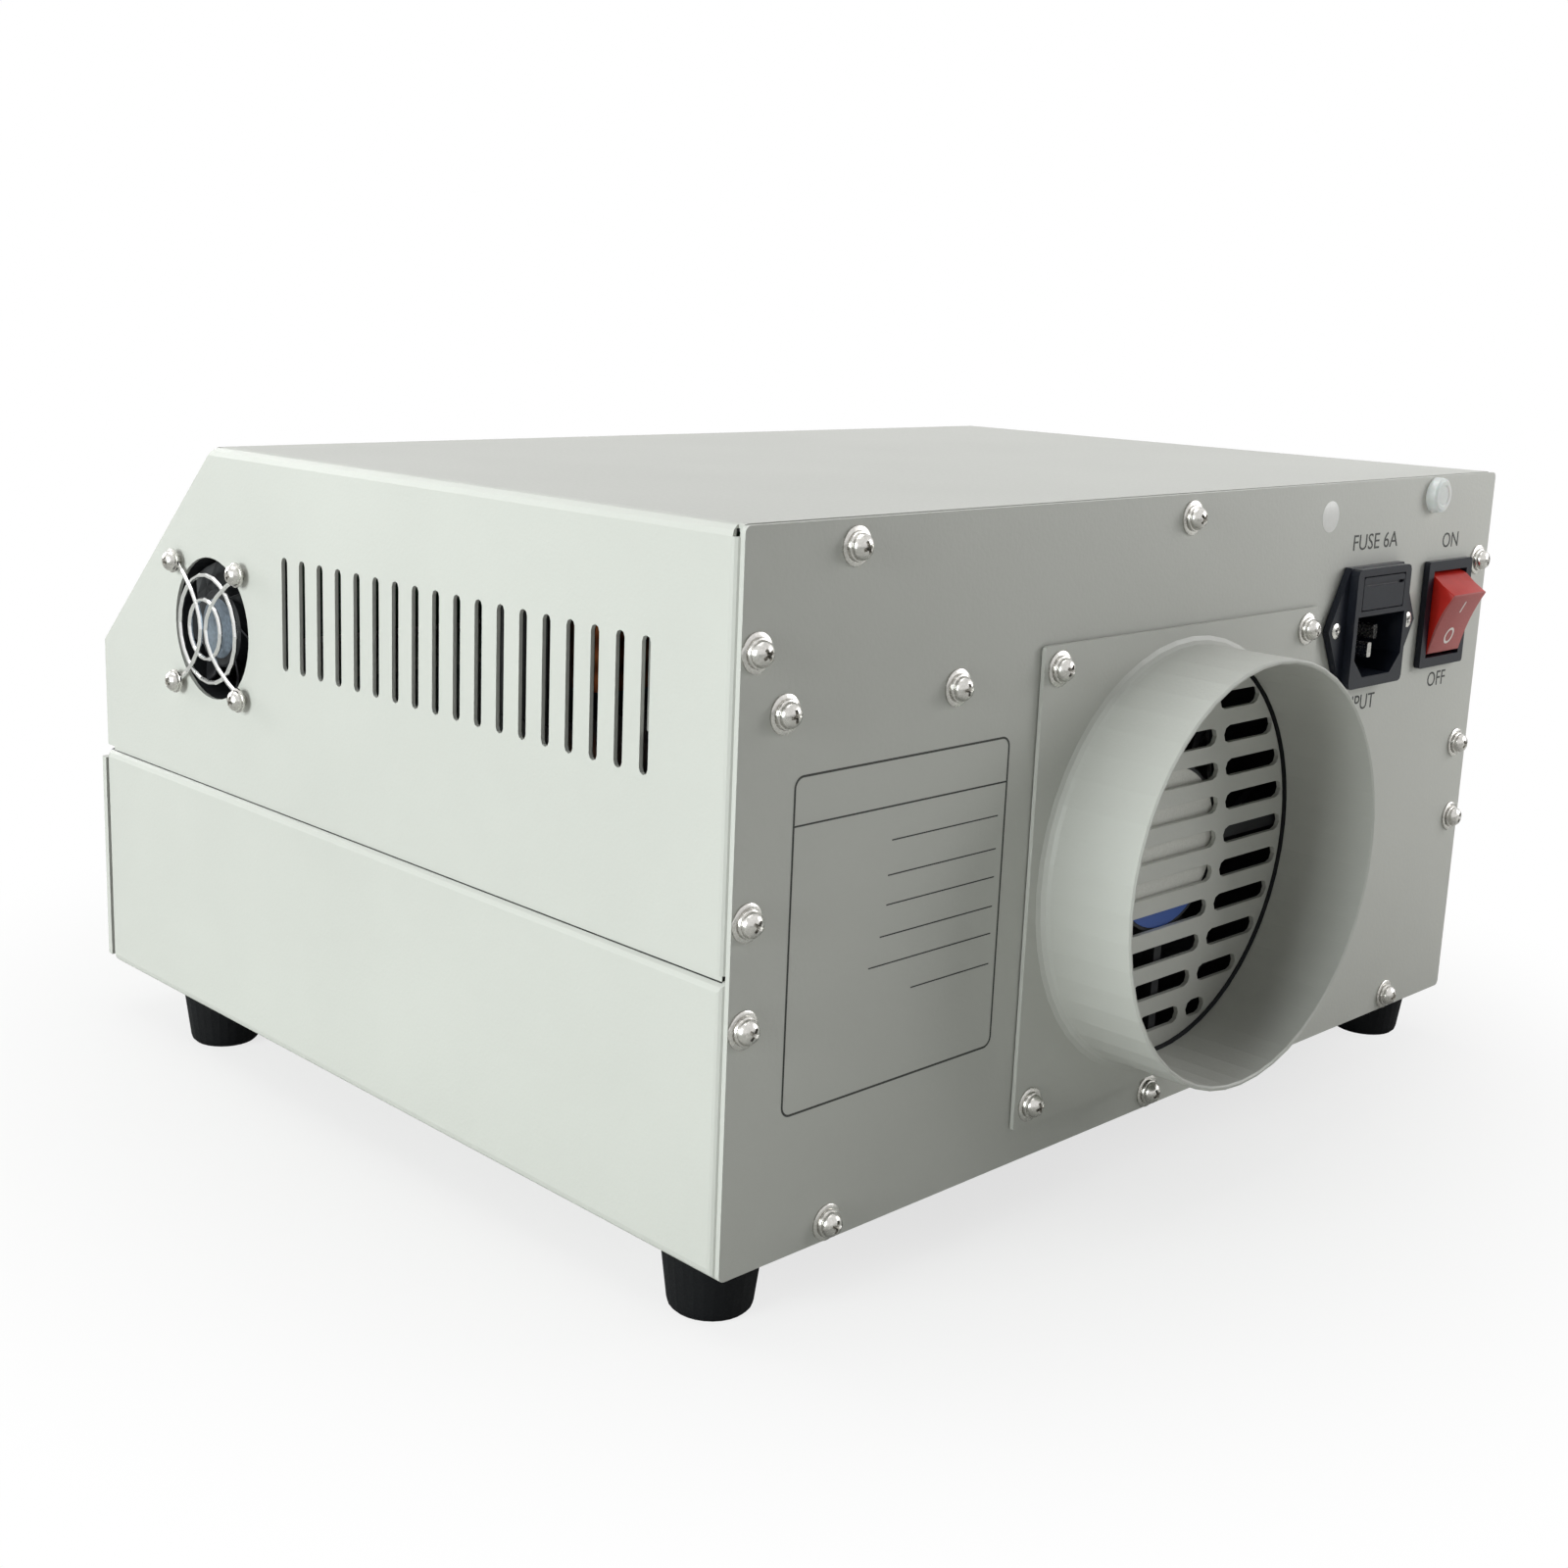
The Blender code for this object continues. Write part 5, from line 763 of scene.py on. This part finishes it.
# Red polycarbonate: saturated at its sides, where light passes in, and frosted to a paler, pinker
# red on its hollow face. The frosted part is all that lies out of the slope.
rocker_red, tree, shader, where = surface("red_polycarbonate")
swirl = add(tree, "ShaderNodeTexNoise", {"Vector": where, "Scale": 1000 / 5, "Detail": 2.0})
frost = add(tree, "ShaderNodeTexNoise", {"Vector": where, "Scale": 1000 / 0.5, "Detail": 3.0})
clear_tone = add(
    tree, "ShaderNodeMix", {"Factor": swirl, 6: linear("#B3160D"), 7: linear("#D42A1C")}, data_type="RGBA",
)
frosted_tone = add(
    tree, "ShaderNodeMix", {"Factor": frost, 6: linear("#9E4C4A"), 7: linear("#B26866")}, data_type="RGBA",
)
along_rocker = add(tree, "ShaderNodeSeparateXYZ", {"Vector": where})
up_slope = add(tree, "ShaderNodeMapRange", {
    "Value": along_rocker.outputs["Z"],
    "From Min": axle.z + SLOPE_FOOT[1], "From Max": axle.z + SLOPE_HEAD[1],
})
face_slope = add(tree, "ShaderNodeFloatCurve", {"Value": up_slope})
slope_points = face_slope.mapping.curves[0].points
slope_points[0].location = (0.0, 0.0)
slope_points[1].location = (1.0, 1.0)
slope_points.new(0.54, 0.36)
face_slope.mapping.update()
face_place = add(tree, "ShaderNodeMapRange", {
    "Value": face_slope, "To Min": axle.y + SLOPE_FOOT[0], "To Max": axle.y + SLOPE_HEAD[0],
})
on_face = add(tree, "ShaderNodeMath", {0: along_rocker.outputs["Y"], 1: face_place}, operation="GREATER_THAN")
rocker_tone = add(
    tree, "ShaderNodeMix", {"Factor": on_face, 6: clear_tone, 7: frosted_tone}, data_type="RGBA",
)
rocker_sheen = add(tree, "ShaderNodeMapRange", {"Value": on_face, "To Min": 0.38, "To Max": 0.55})
rocker_relief = add(tree, "ShaderNodeBump", {"Height": frost, "Distance": 0.00001})
connect(tree, shader, {
    "Base Color": rocker_tone, "Roughness": rocker_sheen, "Normal": rocker_relief, "Subsurface Weight": 0.2,
    "Subsurface Radius": (0.004, 0.001, 0.001), "Subsurface Scale": 1.0, "Specular IOR Level": 0.3,
})
dress(rocker_red, "switch_rocker")

# Pad-printing ink: opaque white, slightly broken where it crosses the frosting.
white_ink, tree, shader, where = surface("white_pad_printing_ink")
broken = add(tree, "ShaderNodeTexNoise", {"Vector": where, "Scale": 1000 / 0.3, "Detail": 3.0})
white_ink_tone = add(
    tree, "ShaderNodeMix", {"Factor": broken, 6: linear("#D9CFCA"), 7: linear("#F0EBE8")}, data_type="RGBA",
)
connect(tree, shader, {"Base Color": white_ink_tone, "Roughness": 0.5})


def rocker_point(start, pull, end, share):
    """A point of the hollow face, which bends from one end to the other past the pull point."""
    return [
        (1 - share) ** 2 * a + 2 * share * (1 - share) * b + share ** 2 * c
        for a, b, c in zip(start, pull, end)
    ]


# The outline's places are (out, up) from the axle. The face bends from the crest, past the hollow,
# to the heel, and the walls follow a circle round the axle, to clear the housing as they swing.
ROCKER_HALF_WIDTH = 0.0091
ROCKER_SWEEP = 0.01295
ROCKER_CREST, ROCKER_HOLLOW, ROCKER_HEEL = (0.0136, 0.0061), (0.0090, -0.0018), (0.0071, -0.0112)
FACE_STEPS = 8
rocker_low, rocker_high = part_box("switch_rocker")
rocker_x = (rocker_low.x + rocker_high.x) / 2
hollow_face = [
    rocker_point(ROCKER_CREST, ROCKER_HOLLOW, ROCKER_HEEL, i / FACE_STEPS) for i in range(FACE_STEPS + 1)
]
lower_wall = [math.radians(angle) for angle in (-60, -74, -88, -102, -115)]
upper_wall = [math.radians(angle) for angle in (85, 71, 57.4, 42)]
outline = hollow_face + [
    (ROCKER_SWEEP * math.cos(angle), ROCKER_SWEEP * math.sin(angle)) for angle in lower_wall + upper_wall
]
rocker = bmesh.new()
rocker.faces.new([
    rocker.verts.new((rocker_x - ROCKER_HALF_WIDTH, axle.y + out, axle.z + up)) for out, up in outline
])
drawn_out = bmesh.ops.extrude_face_region(rocker, geom=rocker.faces[:])
far_side = [v for v in drawn_out["geom"] if isinstance(v, bmesh.types.BMVert)]
bmesh.ops.translate(rocker, verts=far_side, vec=(2 * ROCKER_HALF_WIDTH, 0, 0))
bmesh.ops.recalc_face_normals(rocker, faces=rocker.faces[:])

# The sharp edges from the heel outwards are rounded: the rest stay hidden in the housing.
in_sight = [
    e for e in rocker.edges
    if min(v.co.y for v in e.verts) > axle.y + 0.0070 and e.calc_face_angle() > math.radians(25)
]
bmesh.ops.bevel(
    rocker, geom=in_sight, affect="EDGES", offset=0.00022, segments=2, profile=0.5, material=-1,
)
rocker_skin = BVHTree.FromBMesh(rocker)
new_rocker = finished("rocker", rocker, rocker_red, "rocker")
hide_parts("switch_rocker")

# The thickness of every printed mark.
INK = 0.00004


def laid_on_rocker(shape, up):
    """The flat mark, drawn in X and Y, laid on the rocker's face at that height over its axle."""
    set_down(shape, (rocker_x, 0, axle.z + up), TO_REAR)
    for vertex in shape.verts:
        outside = Vector((vertex.co.x, rocker_high.y + 0.01, vertex.co.z))
        hit = rocker_skin.ray_cast(outside, Vector((0, -1, 0)))[0]
        vertex.co.y += hit.y + INK / 2


off_ring = turned([(0.0017, 0), (0.0017, INK), (0.0024, INK), (0.0024, 0), (0.0017, 0)], 40)
laid_on_rocker(off_ring, -0.0064)
finished("rocker_off_mark", off_ring, white_ink, "rocker")

on_bar = bmesh.new()
add_block(on_bar, (0.0007, 0.0034, INK), (0, 0, INK / 2))
upright_edges = [e for e in on_bar.edges if abs(e.verts[0].co.z - e.verts[1].co.z) > INK / 2]
bmesh.ops.bevel(
    on_bar, geom=upright_edges, affect="EDGES", offset=0.00032, segments=4, profile=0.5, material=-1,
)
laid_on_rocker(on_bar, 0.0022)
finished("rocker_on_mark", on_bar, white_ink, "rocker")

# ---------------------------------------------------------------------------------------------
# Rear lettering and rating frame
# Four words and a ruled frame, screen printed straight on the powder coat in black ink, a few
# hundredths of a millimetre thick.

# Screen ink: dull black, slightly broken where the coat's texture shows through.
ink, tree, shader, where = surface("screen_printed_ink")
cover = add(tree, "ShaderNodeTexNoise", {"Vector": where, "Scale": 1000 / 0.4, "Detail": 3.0})
ink_tone = add(
    tree, "ShaderNodeMix", {"Factor": cover, 6: linear("#262725"), 7: linear("#434440")}, data_type="RGBA",
)
ink_relief = add(tree, "ShaderNodeBump", {"Height": cover, "Distance": 0.00002})
connect(tree, shader, {"Base Color": ink_tone, "Roughness": 0.6, "Normal": ink_relief})

CAPITAL_SHARE = 0.69
ON_PANEL = rear_face + PAPER_GAP


def lettering(name, words, height, width_share, x, z):
    """Words printed on the rear panel, centred on a place up from the casing's foot."""
    curve = bpy.data.curves.new(name, "FONT")
    curve.body = words
    curve.align_x = "CENTER"
    curve.align_y = "CENTER"
    curve.size = height / CAPITAL_SHARE
    curve.extrude = INK / 2
    curve.resolution_u = 3
    guide = bpy.data.objects.new(name, curve)
    scene.collection.objects.link(guide)
    bpy.context.view_layer.update()
    mesh = bpy.data.meshes.new_from_object(guide.evaluated_get(bpy.context.evaluated_depsgraph_get()))
    bpy.data.objects.remove(guide)
    shape = bmesh.new()
    shape.from_mesh(mesh)
    bmesh.ops.scale(shape, verts=shape.verts, vec=(width_share, 1, 1))
    to_face = Matrix.Rotation(math.radians(180), 4, "Z") @ Matrix.Rotation(math.radians(90), 4, "X")
    middle = Matrix.Translation((x, ON_PANEL + INK / 2, z + body_foot))
    bmesh.ops.transform(shape, verts=shape.verts, matrix=middle @ to_face)
    finished(name, shape, ink)


lettering("word_on", "ON", 0.0042, 1.0, -0.1284, 0.1383)
lettering("word_off", "OFF", 0.0042, 1.0, -0.1289, 0.0981)
lettering("word_fuse", "FUSE 6A", 0.0042, 1.1, -0.0861, 0.1403)
lettering("word_input", "INPUT", 0.0042, 1.0, -0.0856, 0.0957)


def printed_line(shape, start, end, height, width):
    """A level printed line on the rear panel, its places in body heights from the right and the foot."""
    across = right_edge - (start + end) / 2 * body_height
    add_block(
        shape, ((end - start) * body_height, INK, width),
        (across, ON_PANEL + INK / 2, body_foot + height * body_height),
    )


# The outline is a sheet of ink with round corners, inset by the line's width and opened. Its
# places are in body heights too.
FRAME_START, FRAME_END, FRAME_LOW, FRAME_HIGH = 0.106, 0.542, 0.205, 0.673
FRAME_LINE = 0.0005
rating = bmesh.new()
bmesh.ops.create_grid(rating, x_segments=1, y_segments=1, size=0.5)
frame_size = ((FRAME_END - FRAME_START) * body_height, (FRAME_HIGH - FRAME_LOW) * body_height, 1)
bmesh.ops.scale(rating, verts=rating.verts, vec=frame_size)
bmesh.ops.bevel(
    rating, geom=rating.verts[:], affect="VERTICES", offset=0.0026, segments=8, profile=0.5, material=-1,
)
bmesh.ops.inset_region(
    rating, faces=rating.faces[:], thickness=FRAME_LINE, use_even_offset=True, use_boundary=True,
)
opening = max(rating.faces, key=lambda face: face.calc_area())
bmesh.ops.delete(rating, geom=[opening], context="FACES_ONLY")
border = bmesh.ops.extrude_face_region(rating, geom=rating.faces[:])
raised = [v for v in border["geom"] if isinstance(v, bmesh.types.BMVert)]
bmesh.ops.translate(rating, verts=raised, vec=(0, 0, INK))
frame_x = right_edge - (FRAME_START + FRAME_END) / 2 * body_height
frame_z = body_foot + (FRAME_LOW + FRAME_HIGH) / 2 * body_height
set_down(rating, (frame_x, ON_PANEL, frame_z), TO_REAR)

# One line runs from side to side under the frame's head, and six shorter ones end together.
LINES_END = 0.525
printed_line(rating, FRAME_START + 0.003, FRAME_END - 0.003, 0.606, 0.0004)
for start, height in (
    (0.300, 0.558), (0.295, 0.509), (0.295, 0.467), (0.285, 0.423), (0.265, 0.382), (0.355, 0.336),
):
    printed_line(rating, start, LINES_END, height, 0.0003)
finished("rating_frame", rating, ink)

# ---------------------------------------------------------------------------------------------
# Round sticker and screw seal
# A blank disc of white film near the rear panel's upper edge, and a white nylon plug pressed over
# the screw at its far upper corner.

# White vinyl film: even, cool white with a soft gloss.
film, tree, shader, where = surface("white_vinyl_film")
ripple = add(tree, "ShaderNodeTexNoise", {"Vector": where, "Scale": 1000 / 1.5, "Detail": 2.0})
film_tone = add(
    tree, "ShaderNodeMix", {"Factor": ripple, 6: linear("#E9E9E6"), 7: linear("#F8F8F6")}, data_type="RGBA",
)
film_relief = add(tree, "ShaderNodeBump", {"Height": ripple, "Distance": 0.00002})
connect(tree, shader, {"Base Color": film_tone, "Roughness": 0.3, "Normal": film_relief})

sticker = turned([(0, 0.0001), (0.0039, 0.0001), (0.0041, 0.00006), (0.0041, 0), (0, 0)], 48)
set_down(sticker, (-0.0615, ON_PANEL, body_foot + 0.1482), TO_REAR)
finished("round_sticker", sticker, film)

# Moulded nylon of the seal: bright white, waxy, with light passing a little way in.
white_nylon, tree, shader, where = surface("moulded_white_nylon")
wax = add(tree, "ShaderNodeTexNoise", {"Vector": where, "Scale": 1000 / 1.2, "Detail": 3.0})
wax_tone = add(
    tree, "ShaderNodeMix", {"Factor": wax, 6: linear("#DEDEDA"), 7: linear("#F6F6F4")}, data_type="RGBA",
)
wax_sheen = add(tree, "ShaderNodeMapRange", {"Value": wax, "To Min": 0.25, "To Max": 0.45})
connect(tree, shader, {"Base Color": wax_tone, "Roughness": wax_sheen, "Subsurface Weight": 0.1})

seal_profile = [
    (0, 0.0026), (0.0026, 0.0026), (0.0030, 0.0029), (0.0040, 0.0029), (0.0047, 0.0024), (0.0049, 0.0016),
    (0.0049, 0.00002), (0, 0.00002),
]
seal = turned(seal_profile, 48)
set_down(seal, (-0.1164, rear_face, body_foot + 0.1517), TO_REAR)
finished("screw_seal", seal, white_nylon)

# ---------------------------------------------------------------------------------------------
# Control panel: board and keys
# A green circuit board lies behind the sloping panel, and five grey keys stand out through it. The
# display and its cover have the finishes of the relays and of the window.

# Solder mask over fibreglass: glossy green with the weave of the cloth just showing.
solder_mask, tree, shader, where = surface("green_solder_mask")
weave = add(tree, "ShaderNodeTexNoise", {"Vector": where, "Scale": 1000 / 0.8, "Detail": 2.0})
weave_tone = add(
    tree, "ShaderNodeMix", {"Factor": weave, 6: linear("#104A24"), 7: linear("#1F6B39")}, data_type="RGBA",
)
weave_sheen = add(tree, "ShaderNodeMapRange", {"Value": weave, "To Min": 0.20, "To Max": 0.42})
connect(tree, shader, {"Base Color": weave_tone, "Roughness": weave_sheen})
dress(solder_mask, "controller_board")

# Grey ABS keys: satin, with the fine grain of the mould.
key_plastic, tree, shader, where = surface("grey_abs_keys")
touch = add(tree, "ShaderNodeTexNoise", {"Vector": where, "Scale": 1000 / 0.4, "Detail": 2.0})
touch_tone = add(
    tree, "ShaderNodeMix", {"Factor": touch, 6: linear("#686C70"), 7: linear("#82868A")}, data_type="RGBA",
)
touch_sheen = add(tree, "ShaderNodeMapRange", {"Value": touch, "To Min": 0.34, "To Max": 0.54})
touch_relief = add(tree, "ShaderNodeBump", {"Height": touch, "Distance": 0.00002})
connect(tree, shader, {"Base Color": touch_tone, "Roughness": touch_sheen, "Normal": touch_relief})
dress(key_plastic, "key_1", "key_2", "key_3", "key_4", "key_5")
